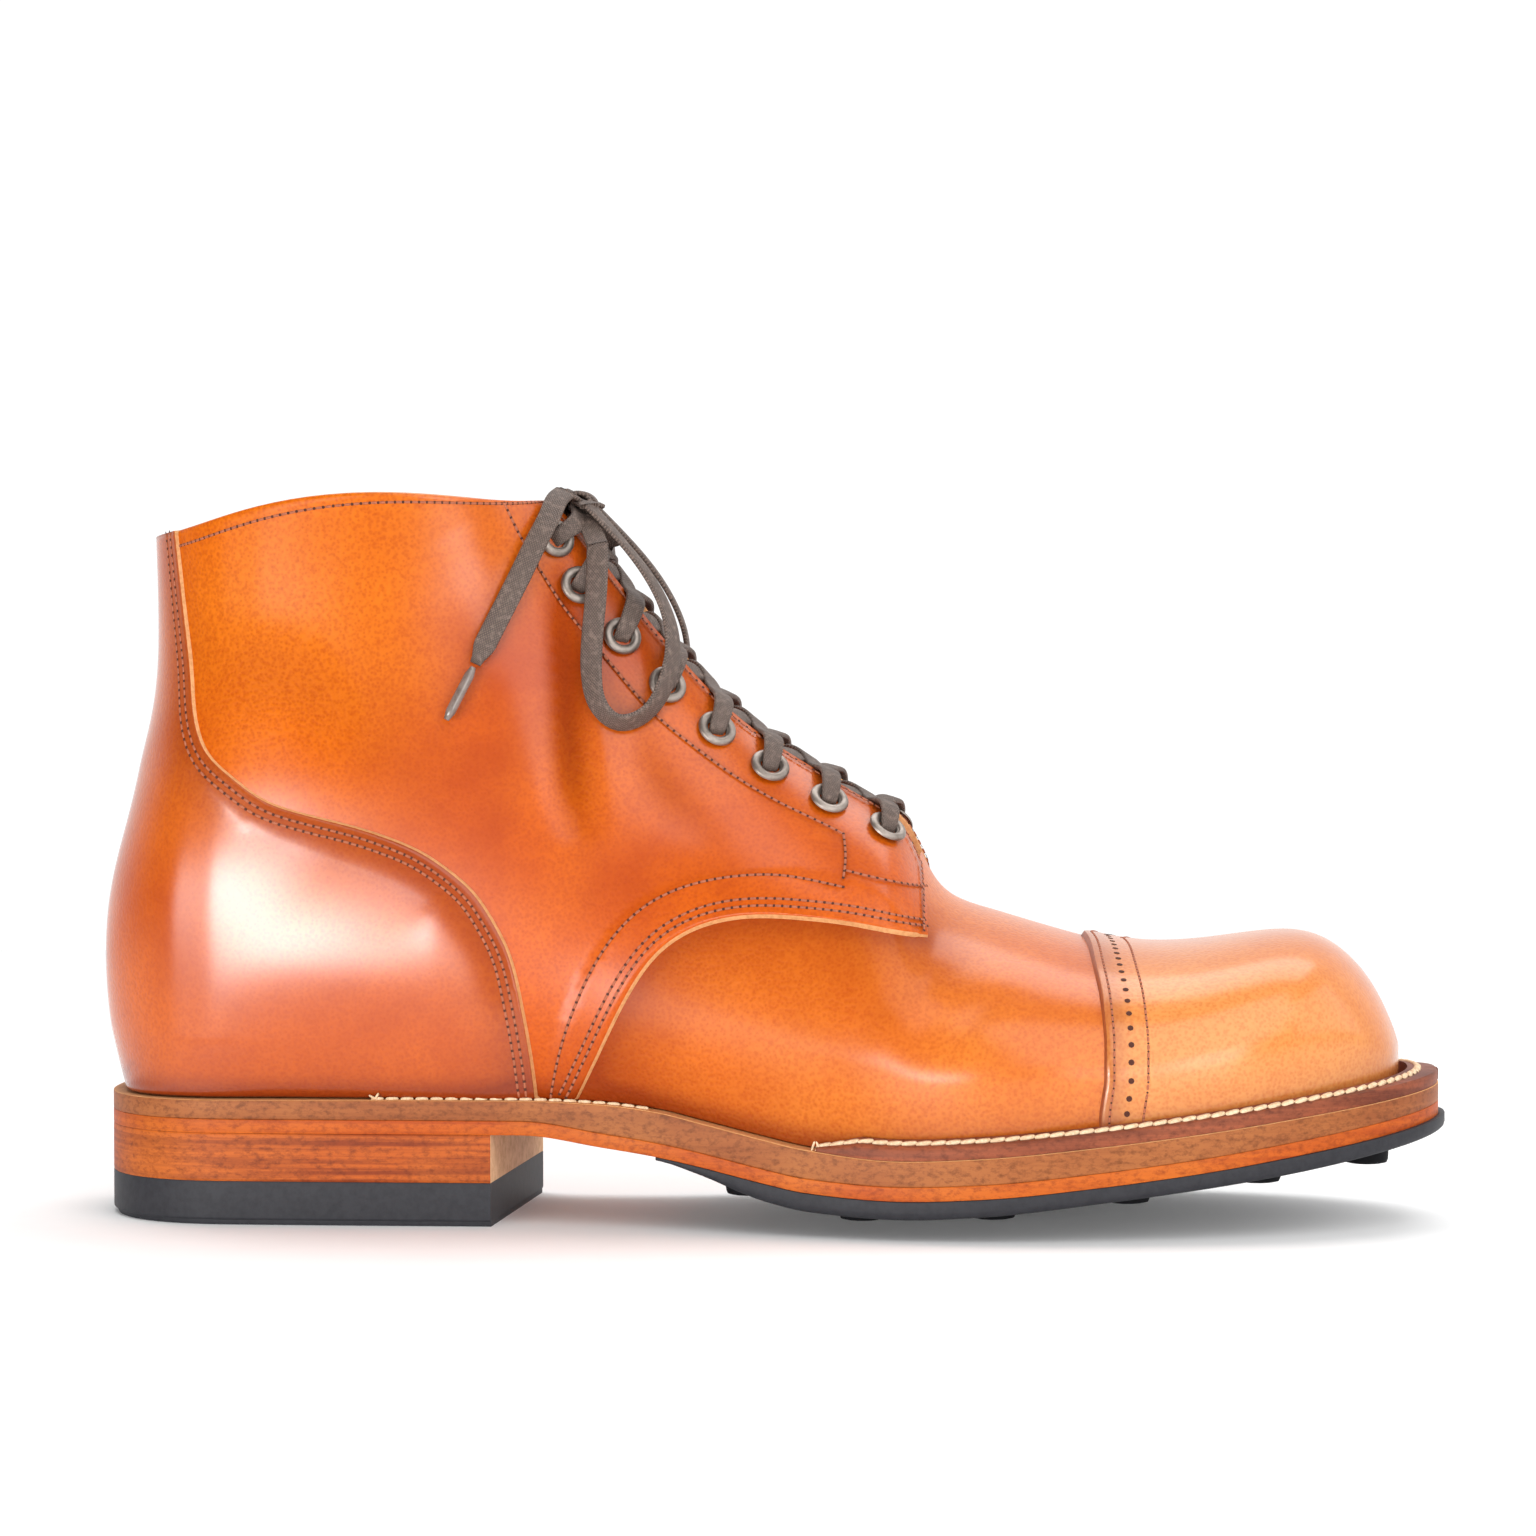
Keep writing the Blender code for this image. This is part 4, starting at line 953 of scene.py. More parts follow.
# Camera
camera = bpy.data.objects.new("camera", bpy.data.cameras.new("camera"))
camera.data.sensor_width = 36.0
camera.data.lens = 110.8
camera.location = (0.08535, -1.0944, 0.1423)
aim = Vector((-0.0006, 0.0022, 0.1034)) - camera.location
camera.rotation_mode = "QUATERNION"
camera.rotation_quaternion = aim.to_track_quat("-Z", "Y")
camera.data.clip_start, camera.data.clip_end = 0.01, 50.0
bpy.context.scene.collection.objects.link(camera)
bpy.context.scene.camera = camera


# Lace
STRAND_STEP = 0.9
BOW_STEP = 1.2
AGLET_STEP = 1.0
LACE_TIP_WIDTH = 2.6
AGLET_RADIUS = 1.2
FACING_START = 9.0576
CROSSINGS = (
    # side, how much higher the strand lies in the middle
    (OUT, 0.55),
    (IN, -0.75),
)
KNOT_WRAPS = (
    # tilt, width, height, depth
    (0.35, 3.9, 3.1, 5.0),
    (-0.5, 3.2, 2.6, 4.6),
)


def smooth_route(route, spacing):
    """Points at equal steps on a smooth curve through a route."""
    route = np.asarray(route, float)
    run = run_along(route)
    curves = [Curve(run, route[:, k]) for k in range(3)]
    fine = np.linspace(0, run[-1], 40 * len(route))
    points = np.stack([curve(fine) for curve in curves], -1)
    length = run_along(points)
    count = max(int(length[-1] / spacing), 4)
    at = np.interp(np.linspace(0, length[-1], count + 1), length, fine)
    return np.stack([curve(at) for curve in curves], -1)


RIBBON_SHAPE = tuple(
    (np.sign(math.cos(a)) * abs(math.cos(a)) ** 0.45, np.sign(math.sin(a)) * abs(math.sin(a)) ** 0.6)
    for a in (2 * math.pi * (k + 0.5) / 14 for k in range(14))
)


def ribbon_points(points, ups, widths, thick=LACE_THICK):
    """Rings of a flat lace along points, its broad side facing the given directions."""
    run = unit(np.gradient(points, axis=0))
    across = unit(np.cross(run, ups))
    rise = np.cross(across, run)
    widths = np.broadcast_to(np.asarray(widths, float), (len(points),))
    rings = [
        points + across * (a * widths / 2)[:, None] + rise * (b * thick / 2)
        for a, b in RIBBON_SHAPE
    ]
    return np.stack(rings, 1)


def ribbons_object(name, ribbons, material):
    points, faces, weave = [], [], []
    for rings in ribbons:
        rows, cols = rings.shape[:2]
        first = sum(len(p) for p in points)
        faces += tube_faces(rows, cols, first)
        run = run_along(rings.mean(1))
        side = np.array([a for a, _ in RIBBON_SHAPE]) * LACE_WIDTH / 2
        weave.append(np.stack(np.broadcast_arrays(run[:, None], side[None, :], 0.0), -1).reshape(-1, 3))
        points.append(rings.reshape(-1, 3))
    thing = new_object(name, np.concatenate(points), faces, [material], weld=False)
    layer = thing.data.attributes.new("weave", "FLOAT_VECTOR", "POINT")
    layer.data.foreach_set("vector", np.concatenate(weave).astype(np.float32).ravel())
    return thing


LOOP_TURNS = (
    # share of the way, turn
    (0.0, 0.8),
    (0.12, 0.88),
    (0.28, 0.76),
    (0.42, 0.55),
    (0.52, 0.6),
    (0.62, 0.45),
    (0.75, 0.2),
    (1.0, 0.2),
)
FAR_LOOP_TURN = 0.97
END_TURNS = (
    # share of the way, direction of the broad side
    (0.0, 0.3, -0.2, 0.9),
    (0.3, 0.1, -0.8, 0.55),
    (0.6, 0.1, -1.0, 0.15),
    (1.0, 0.05, -1.0, 0.1),
)


def turned_ups(points, table):
    """Directions of the lace's broad side, from a table of share of the way and direction."""
    rows = np.array(table)
    return unit(rows_at(np.linspace(0, 1, len(points)), rows[:, 0], rows[:, 1:]))


def loop_ups(points, side):
    """Broad side of a loop: outward from the loop where the turn is 1, to the side where it is 0."""
    share = np.linspace(0, 1, len(points))
    turn = np.interp(share, *zip(*LOOP_TURNS))[:, None] if side == OUT else FAR_LOOP_TURN
    run = unit(np.gradient(points, axis=0))
    return unit(np.cross(run, (0.0, 1.0, 0.0)) * turn + np.array((0.0, side, 0.0)) * (1 - turn))


def mirrored(points, side):
    return np.asarray(points, float) * np.array((1, -side, 1))


def build_bow():
    for side, word in SIDES:
        loop = smooth_route(mirrored(LOOP_ROUTE, side), BOW_STEP)
        ups = loop_ups(loop, side)
        body = ribbons_object(f"bow_loop_{word}", [ribbon_points(loop, ups, LACE_WIDTH)], LACE)
        dressed(body, "lace", f"lace_loop_{word}")
        end = smooth_route(mirrored(END_ROUTE, side), BOW_STEP)
        ups = turned_ups(end, END_TURNS) * np.array((1, -side, 1))
        pinch = smooth_step(0.9, 1.0, np.linspace(0, 1, len(end)))
        taper = LACE_WIDTH - (LACE_WIDTH - LACE_TIP_WIDTH) * pinch
        body = ribbons_object(f"bow_end_{word}", [ribbon_points(end, ups, taper)], LACE)
        dressed(body, "lace", f"lace_end_{word}")
        tip = smooth_route(mirrored(AGLET_ROUTE, side), AGLET_STEP)
        cap = aglet(f"aglet_tip_{word}", tip)
        dressed(cap, "aglet_plastic", f"aglet_{word}")


def aglet(name, line):
    """Tube with rounded ends and a slightly pinched start."""
    run = unit(np.gradient(line, axis=0))
    across = unit(np.cross(run, np.array((0.0, 0.0, 1.0))))
    rise = np.cross(across, run)
    share = np.linspace(0, 1, len(line))
    radius = AGLET_RADIUS * np.minimum(1, 0.55 + 3 * np.minimum(share, (1 - share)))
    turns = np.linspace(0, 2 * math.pi, 16, endpoint=False)
    rings = np.stack([
        line + (across * math.cos(a) + rise * math.sin(a)) * radius[:, None] for a in turns
    ], 1)
    return new_object(name, rings.reshape(-1, 3), tube_faces(*rings.shape[:2]), [TIP], weld=False)


def eyelet_places():
    """Section and height of each eyelet, front to top."""
    t_at = np.linspace(FACING_START, LAST, 400)
    run = run_along(skin(t_at, facing_v(t_at), OUT, QUARTER_LIFT))
    places = []
    for along, inset in EYELET_ROWS:
        t = float(np.interp(along, run, t_at))
        v = facing_v(t) - np.arange(0, 200) * 0.001
        points = skin(np.full(200, t), v, OUT, QUARTER_LIFT)
        away = np.linalg.norm(points - points[0], axis=1)
        places.append((t, float(np.interp(inset, away, v))))
    return places


def surface_spot(t, v, side, lift):
    return skin(np.array([t]), np.array([v]), side, np.array([lift]))[0]


def surface_way(t, v, side):
    return normal(np.array([t]), np.array([v]), side)[0]


def build_lacing():
    """Strands out of each eyelet, over the facing's edge and under the other facing."""
    places = eyelet_places()
    for k in range(len(places) - 1):
        t0, v0 = places[k]
        step = places[k + 1][0] - t0
        strands = []
        for side, high in CROSSINGS:
            edge_t, mid_t, far_t, end_t = (t0 + share * step for share in (0.2, 0.5, 0.72, 0.86))
            edge = float(facing_v(edge_t))
            far = float(facing_v(end_t))
            spots = (
                # section, height, side, lift, width
                (t0 - 0.02 * step, v0 - 0.004, side, -1.6, 3.3),
                (t0, v0, side, QUARTER_LIFT + 0.6, 3.8),
                (t0 + 0.05 * step, v0 + 0.25 * (edge - v0), side, QUARTER_LIFT + 2.3, 4.4),
                (t0 + 0.13 * step, v0 + 0.65 * (edge - v0), side, QUARTER_LIFT + 2.4, 4.9),
                (edge_t, edge, side, QUARTER_LIFT + 0.8, LACE_WIDTH),
                (t0 + 0.31 * step, 0.4 + 0.6 * edge, side, -0.8 + high / 2, LACE_WIDTH),
                (mid_t, 1.0, side, -1.2 + 0.6 * high, LACE_WIDTH),
                (far_t, 1 - 0.45 * (1 - far), -side, -1.2 + high / 2, LACE_WIDTH),
                (end_t, far + 0.004, -side, -1.3, LACE_WIDTH),
                (t0 + 0.95 * step, far - 0.03, -side, -2.0, 4.6),
            )
            route = np.array([surface_spot(t, v, hand, lift) for t, v, hand, lift, _ in spots])
            ways = np.array([surface_way(t, v, hand) for t, v, hand, lift, _ in spots])
            line = smooth_route(route, STRAND_STEP)
            run = run_along(route)
            at = np.linspace(0, run[-1], len(line))
            widths = np.interp(at, run, [row[4] for row in spots])
            strands.append(ribbon_points(line, unit(rows_at(at, run, ways)), widths))
        dressed(ribbons_object(f"lacing_{k + 1}", strands, LACE), "lace", f"lace_cross_{k + 1}")
    build_knot(places[-1])


def build_knot(top):
    """Knot of the bow: strands from the top eyelets, and a wrap round their middle."""
    t, v = top
    centre = np.array(KNOT)
    edge = float(facing_v(t + 0.1))
    ribbons = []
    for side in (OUT, IN):
        spots = (
            # section, height, lift
            (t, v - 0.003, -1.5),
            (t, v, QUARTER_LIFT + 0.6),
            (t + 0.03, v + 0.35 * (edge - v), QUARTER_LIFT + 2.2),
            (t + 0.08, edge, QUARTER_LIFT + 2.2),
        )
        route = [surface_spot(a, b, side, lift) for a, b, lift in spots]
        ups = [surface_way(a, b, side) for a, b, lift in spots]
        route += [centre + (0.5, side * 4.0, -0.8), centre + (0.5, -side * 2.5, 0.2 * side)]
        ups += [np.array((0.6, 0.0, 0.8)), np.array((0.6, 0.0, 0.8))]
        line = smooth_route(route, STRAND_STEP)
        share = np.linspace(0, 1, len(line))
        ways = unit(rows_at(share, np.linspace(0, 1, len(ups)), ups))
        ribbons.append(ribbon_points(line, ways, np.interp(share, (0, 0.2, 0.5, 1), (3.4, 3.8, 5.0, 4.6))))
    for tilt, wide, tall, deep in KNOT_WRAPS:
        a = np.linspace(0, 2 * math.pi * 0.98, 40)
        ring = np.stack((wide * np.cos(a), tilt * deep * np.cos(a + 0.6), tall * np.sin(a)), -1) + centre
        ways = unit(np.stack((np.cos(a) / wide, 0 * a, np.sin(a) / tall), -1))
        ribbons.append(ribbon_points(ring, ways, 4.8))
    for side in (OUT, IN):
        loop = mirrored(LOOP_ROUTE, side)
        starts = (
            # place, direction of the broad side
            (loop[0], (0.3, side * 0.6, 0.7)),
            (loop[-1], (0.2, side * 0.9, 0.4)),
            (mirrored(END_ROUTE, side)[0], (0.3, side * 0.2, 0.9)),
        )
        for spot, way in starts:
            between = spot * 0.5 + (centre + (0.6, side * 3.2, 0.6)) * 0.5 + (0, 0, 0.4)
            line = smooth_route((spot, between, centre + (0.4, side * 1.0, 0.2)), STRAND_STEP)
            ways = np.broadcast_to(unit(np.array(way)), line.shape)
            ribbons.append(ribbon_points(line, ways, LACE_WIDTH * 0.95))
    dressed(ribbons_object("bow_knot", ribbons, LACE), "lace", "lace_knot")


build_bow()
build_lacing()


# Upper
def along_row(count, ends):
    """Shares of the way between two ends, with extra places close to each end."""
    extra_low = [0.0, 0.0, ends[0] * 0.4, ends[0]] if ends[0] else [0.0]
    extra_high = [1 - ends[1], 1 - ends[1] * 0.4, 1.0, 1.0] if ends[1] else [1.0]
    middle = np.linspace(extra_low[-1], extra_high[0], count)[1:-1]
    return np.concatenate((extra_low, middle, extra_high))


def edge_lift(lift, cols, high=False):
    """Lift across a row, dropping at the cut edges."""
    lifts = np.full(cols, lift)
    lifts[:4] -= (1.5, 0.22, 0.05, 0.0)
    if high:
        lifts[-4:] -= (0.0, 0.1, 0.45, 1.7)
    return lifts


def edge_marks(rows, cols, high=False):
    marks = np.zeros((rows - 1, cols - 1), int)
    marks[:, 0] = 1
    if high:
        marks[:, -1] = 1
    return marks


def bevel(t, v, side, offset):
    """Move the first place of each row out past the edge, for the foot of the cut."""
    t, v = t.copy(), np.array(np.broadcast_to(v, t.shape))
    t[:, 0], v[:, 0] = beside(t[:, 1], v[:, 1], side, offset)
    return t, v


DARKEST_TINT = 0.8
UNDER_COUNTER = 0.9
VAMP_STEP = 0.5
CAP_OVERLAP = 0.25
QUARTER_OVERLAP = 0.35
VAMP_TOP_V, VAMP_TOP_T = 0.76, 9.5
back_rise = column(BACK_LIFT, 1, True)


def back_lift(points):
    """Extra lift at the back of the heel."""
    return back_rise(points[..., 2]) * fade_out(6.0, 46.0, points[..., 0])


def floor_shade(points):
    """Painted shade: darker leather close to the sole, where shade falls."""
    rise = points[..., 2] - midsole_top(points[..., 0])
    return 0.55 * fade_out(0.5, 7.0, rise) + 0.2 * fade_out(2.0, 16.0, rise)


def line_falloff(points, line, half):
    """Darker leather along a line of points: a falloff from 1 on the line to 0 away from it."""
    best = np.full(points.shape[:-1], 1e9)
    for spot in line[::2]:
        best = np.minimum(best, np.linalg.norm(points - spot, axis=-1))
    return np.exp(-(best / half) ** 2)


def rim_rows(t, v, side, lifts, drops):
    """Rows of points down a cut edge, by drops from its lift."""
    return np.stack([skin(t, v, side, lifts - drop) for drop in drops])


def shaded(shade):
    """Painted shade and darker edges of the leather, held below full dark."""
    return np.clip(shade, 0, DARKEST_TINT)


def build_quarters():
    t_edge, v_edge = with_corner(QUARTER_EDGE, QUARTER_CORNER, 1.25)
    v_edge[0] = 0.0
    heights = v_edge / facing_v(t_edge)
    heights[-1] = 1.0
    heights = np.maximum.accumulate(heights)
    vamp_t, vamp_v = evenly_along(VAMP_LINE, 2.0)
    vamp_v[0] = 0.0
    grids, marks, shade_and_edge_darkening, dulls = [], [], [], []
    shares = along_row(150, (0.006, 0.005))
    for side in (OUT, IN):
        rim_t = collar_t(heights * facing_v(LAST))
        t = t_edge[:, None] + (rim_t - t_edge)[:, None] * shares[None, :]
        t, v = bevel(t, heights[:, None] * facing_v(t), side, 0.7)
        lifts = np.broadcast_to(edge_lift(QUARTER_LIFT, len(shares), True), t.shape).copy()
        base = place(t, v, side)
        x, z = base[..., 0], base[..., 2]
        seam_line = place(vamp_t, vamp_v, side)
        gap = np.full(t.shape, 1e9)
        for spot in seam_line:
            gap = np.minimum(gap, np.linalg.norm(base - spot, axis=-1))
        behind = (t > np.interp(v, np.maximum.accumulate(vamp_v), vamp_t)) & (t > 10.9) | (v > 0.745)
        lifts -= np.where(behind, VAMP_STEP * smooth_step(0.1, 2.0, gap), 0.0) * smooth_step(21.0, 16.0, t)
        lifts += folds(base) * np.minimum(1, 0.1 + shares * 12)[None, :]
        lifts += back_lift(base)
        lifts -= UNDER_COUNTER * fade_out(30.0, 44.0, z) * fade_out(40.0, 60.0, x)
        grid = skin(t, v, side, lifts)
        grids += [grid, rim_rows(t[-1], v[-1], side, lifts[-1], (0.0, 0.45, 1.7))]
        marks += [edge_marks(*t.shape, True), np.ones((2, t.shape[1] - 1), int)]
        # painted shade near the sole and in the fold troughs
        shade_and_edge_darkening += [shaded(floor_shade(grid) - folds(base) * 0.42), 0.2]
        away = fade_out(52.0, 92.0, x) * smooth_step(88.0, 106.0, z)
        away += 0.7 * fade_out(62.0, 84.0, z)
        dulls += [np.clip(0.9 * away - folds(base), 0, 1), 1.0]
    body = grids_object("quarters", grids, [ORANGE, RAW], marks, shade_and_edge_darkening, dulls)
    dressed(body, "leather", "upper")


def build_vamp():
    t_edge, v_edge = evenly_along(QUARTER_EDGE[:QUARTER_CORNER + 1], 1.0)
    heights = np.concatenate((np.linspace(0, 0.5, 34), np.linspace(0.5, 1, 70)[1:]))
    shares = np.linspace(0, 1, 110)
    start = np.interp(heights, [row[1] for row in CAP_EDGE], [row[0] for row in CAP_EDGE]) - CAP_OVERLAP
    end = np.interp(heights, np.maximum.accumulate(v_edge), t_edge) + QUARTER_OVERLAP
    end = np.where(heights > VAMP_TOP_V, VAMP_TOP_T, end)
    end = np.maximum(end, start + 0.5)
    grids, shade_and_edge_darkening, dulls = [], [], []
    for side in (OUT, IN):
        t = start[:, None] + (end - start)[:, None] * shares[None, :]
        v = np.broadcast_to(heights[:, None], t.shape)
        base = place(t, v, side)
        grid = skin(t, v, side, folds(base))
        grids.append(grid)
        seam_line = place(t_edge, v_edge, side)
        # painted shade near the sole and in the fold troughs, and darker leather along the seam
        shade = floor_shade(grid) + 0.3 * line_falloff(base, seam_line, 4.0)
        shade += 0.4 * line_falloff(base, seam_line, 16.0)
        shade_and_edge_darkening.append(shaded(shade - folds(base) * 0.3))
        dulls.append(0.9 * fade_out(172.0, 206.0, base[..., 0]))
    dressed(grids_object("vamp", grids, [VAMP], None, shade_and_edge_darkening, dulls), "leather")


EDGE_SKIVE = 0.9
SKIVE_REACH = 6.0


def build_counter():
    t_edge, v_edge = evenly_along(COUNTER_EDGE, 1.3)
    v_edge[0] = 0.0
    t_edge = np.minimum(t_edge, LAST)
    t_edge[-1] = LAST
    t_base = t_edge[0] + (LAST - t_edge[0]) * np.linspace(0, 1, len(t_edge))
    shares = along_row(60, (0.012, 0.0))
    grids, marks, shade_and_edge_darkening = [], [], []
    for side in (OUT, IN):
        t = t_edge[:, None] + (t_base - t_edge)[:, None] * shares[None, :]
        t, v = bevel(t, v_edge[:, None] * (1 - shares)[None, :], side, 0.55)
        base = place(t, v, side)
        lifts = edge_lift(COUNTER_LIFT, len(shares))[None, :] + back_lift(base)
        lifts -= EDGE_SKIVE * line_falloff(base, base[:, 1], SKIVE_REACH)
        grid = skin(t, v, side, lifts)
        grids += [grid, rim_rows(t[-1], v[-1], side, lifts[-1], (0.0, 0.45, 1.9))]
        marks += [edge_marks(*t.shape), np.ones((2, t.shape[1] - 1), int)]
        # painted shade near the sole, and darker leather along the edge
        shade_and_edge_darkening += [shaded(floor_shade(grid) + 0.5 * line_falloff(grid, grid[:, 3], 9.0)), 0.3]
    body = grids_object("counter", grids, [COUNTER, RAW], marks, shade_and_edge_darkening)
    ease_heel(body)
    dressed(body, "leather", "heel_counter")


HEEL_EASE_X = 80.0
HEEL_EASE_EDGE = 7.0
HEEL_EASE = (
    # from z, to z, rounds
    (30.2, 104.0, 60),
    (28.6, 42.0, 15),
)


def ease_heel(thing):
    """Even out the counter round the heel's corner, where the sections turn, and then at its base."""
    edge_x, edge_z = zip(*sorted(COUNTER_EDGE))
    bm = bmesh.new()
    bm.from_mesh(thing.data)
    for low, high, rounds in HEEL_EASE:
        near = []
        for vert in bm.verts:
            x, _, z = np.array(vert.co) / MM - SHIFT
            top = min(float(np.interp(x, edge_x, edge_z)) - HEEL_EASE_EDGE, high)
            if not vert.is_boundary and x < HEEL_EASE_X and low < z < top:
                near.append(vert)
        for _ in range(rounds):
            bmesh.ops.smooth_vert(
                bm, verts=near, factor=0.5, use_axis_x=True, use_axis_y=True, use_axis_z=True
            )
    bm.to_mesh(thing.data)
    bm.free()
    thing.data.shade_smooth()


def build_cap():
    heights = np.concatenate((np.linspace(0, 0.5, 30), np.linspace(0.5, 1, 64)[1:]))
    t_edge = cap_t(heights)
    shares = along_row(110, (0.006, 0.0))
    grids, marks, shade_and_edge_darkening = [], [], []
    for side in (OUT, IN):
        t = t_edge[:, None] * (1 - shares ** 0.85)[None, :]
        t, v = bevel(t, heights[:, None], side, -0.5)
        lifts = np.broadcast_to(edge_lift(CAP_LIFT, len(shares)), t.shape)
        grid = skin(t, v, side, lifts)
        grids.append(grid)
        marks.append(edge_marks(*t.shape))
        # painted shade near the sole, and darker leather along the edge
        shade_and_edge_darkening.append(shaded(floor_shade(grid) + 0.4 * line_falloff(grid, grid[:, 3], 3.0)))
    dressed(grids_object("cap", grids, [TOE, BURNT], marks, shade_and_edge_darkening), "leather", "toe_cap")


LINING_DROPS = (0.4, 1.4, 1.8)


def build_lining():
    grids = []
    t = np.linspace(8.0, LAST, 90)[:, None]
    shares = np.linspace(0, 1, 60)[None, :]
    for side in (OUT, IN):
        v = shares * facing_v(np.maximum(t, 9.4))
        rim = rim_rows(t[-1] + 0 * shares[0], v[-1], side, 0 * shares[0], LINING_DROPS)
        edge = rim_rows(t[:, 0], v[:, -1], side, 0 * t[:, 0], LINING_DROPS)
        grids += [skin(t + 0 * v, v, side, 0 * v - WALL), rim, edge]
    dressed(grids_object("lining", grids, [LINING]), "leather")


def build_tongue():
    t = np.linspace(8.2, LAST, 110)
    half = TONGUE_HALF + TONGUE_FLARE * (t - 8) / 14
    share = half / (belly_half[OUT](t) + ridge_y(t))
    low = 0.5 + np.arccos(share ** (top_round(t) / 2)) / math.pi
    across = np.linspace(0, 1, 40)
    grids, marks = [], []
    for side in (OUT, IN):
        v = low[:, None] + (1 - low)[:, None] * across[None, :]
        tt = t[:, None] + 0 * v
        ripple = 0.25 * np.sin(tt * 5.0) * (v - low[:, None])
        top = skin(tt, v, side, TONGUE_LIFT + ripple)
        under = skin(tt, v, side, 0 * v + TONGUE_LIFT - TONGUE_THICK)
        grids += [top, under, np.stack((top[-1], under[-1])), np.stack((top[:, 0], under[:, 0]))]
        marks += [np.zeros((len(t) - 1, 39), int), np.full((len(t) - 1, 39), 1), np.full((1, 39), 2),
                  np.full((1, len(t) - 1), 2)]
    body = grids_object("tongue_leather", grids, [ORANGE, LINING, RAW], marks)
    dressed(body, "leather", "tongue")


build_quarters()
build_vamp()
build_counter()
build_cap()
build_lining()
build_tongue()


# Stitches
def capsule(sides=6):
    """Stitch of unit length along X, rounded, as points and faces."""
    rings = ((-0.5, 0.25), (-0.42, 0.8), (-0.2, 1.0), (0.2, 1.0), (0.42, 0.8), (0.5, 0.25))
    points = np.array([
        (x, r * math.cos(2 * math.pi * k / sides), r * math.sin(2 * math.pi * k / sides))
        for x, r in rings for k in range(sides)
    ])
    return points, tube_faces(len(rings), sides)


def pill():
    """Flat spot with a unit radius, as points and faces."""
    turns = [math.pi * k / 4 for k in range(8)]
    points = np.array([(math.cos(a), math.sin(a), 0.0) for a in turns] + [(0, 0, 0.15)])
    return points, [(k, (k + 1) % 8, 8) for k in range(8)]


def scattered(name, spots, shape, materials, slot):
    """One object with a shape at each spot: centres, runs, ups, and size along each."""
    base, faces = shape
    centres, runs, ups, sizes = (
        np.concatenate([np.broadcast_to(spot[k], spot[0].shape) for spot in spots]) for k in range(4)
    )
    across = unit(np.cross(ups, runs))
    ups = np.cross(runs, across)
    local = base[None] * sizes[:, None, :]
    points = centres[:, None]
    for k, way in enumerate((runs, across, ups)):
        points = points + way[:, None] * local[..., k:k + 1]
    all_faces = [tuple(k * len(base) + i for i in face) for k in range(len(centres)) for face in faces]
    return dressed(new_object(name, points.reshape(-1, 3), all_faces, materials, weld=False), slot)


THREADS, HOLES, WELT_THREADS = [], [], []
STITCH_PITCH = 1.85
STITCH = (1.4, 0.3, 0.2)
STITCH_HOLE = 0.37
CAP_PITCH = 1.6
CAP_STITCH = (1.2, 0.28, 0.18)
CAP_STITCH_HOLE = 0.25
BROGUE_PITCH = 3.7
# Rows of stitches, by their distance from the edge
QUARTER_ROWS = (2.0, 3.7)
FACING_ROW = 1.7
COUNTER_ROWS = (1.9, 3.6)
THROAT_ROW = 1.8
CAP_ROWS = (1.6, 9.2)
BROGUE_ROW = 5.4
BROGUE_HOLE = (0.7, 0.7, 0.3)


def sew(t, v, side, lift, size=STITCH, hole=STITCH_HOLE):
    """Stitches at the places of a line, with a hole between each two, drawn as a dark spot of painted shade.
    """
    base = place(t, v, side)
    lifts = lift + folds(base) * (lift == QUARTER_LIFT)
    points = skin(t, v, side, lifts + back_lift(base) * (lift != CAP_LIFT))
    ways = normal(t, v, side)
    middle = (points[:-1] + points[1:]) / 2
    run = unit(points[1:] - points[:-1])
    up = unit(ways[:-1] + ways[1:])
    THREADS.append((middle + up * 0.02, run, up, size))
    HOLES.append((points + ways * 0.07, unit(np.gradient(points, axis=0)), ways, (hole, hole, 0.6)))


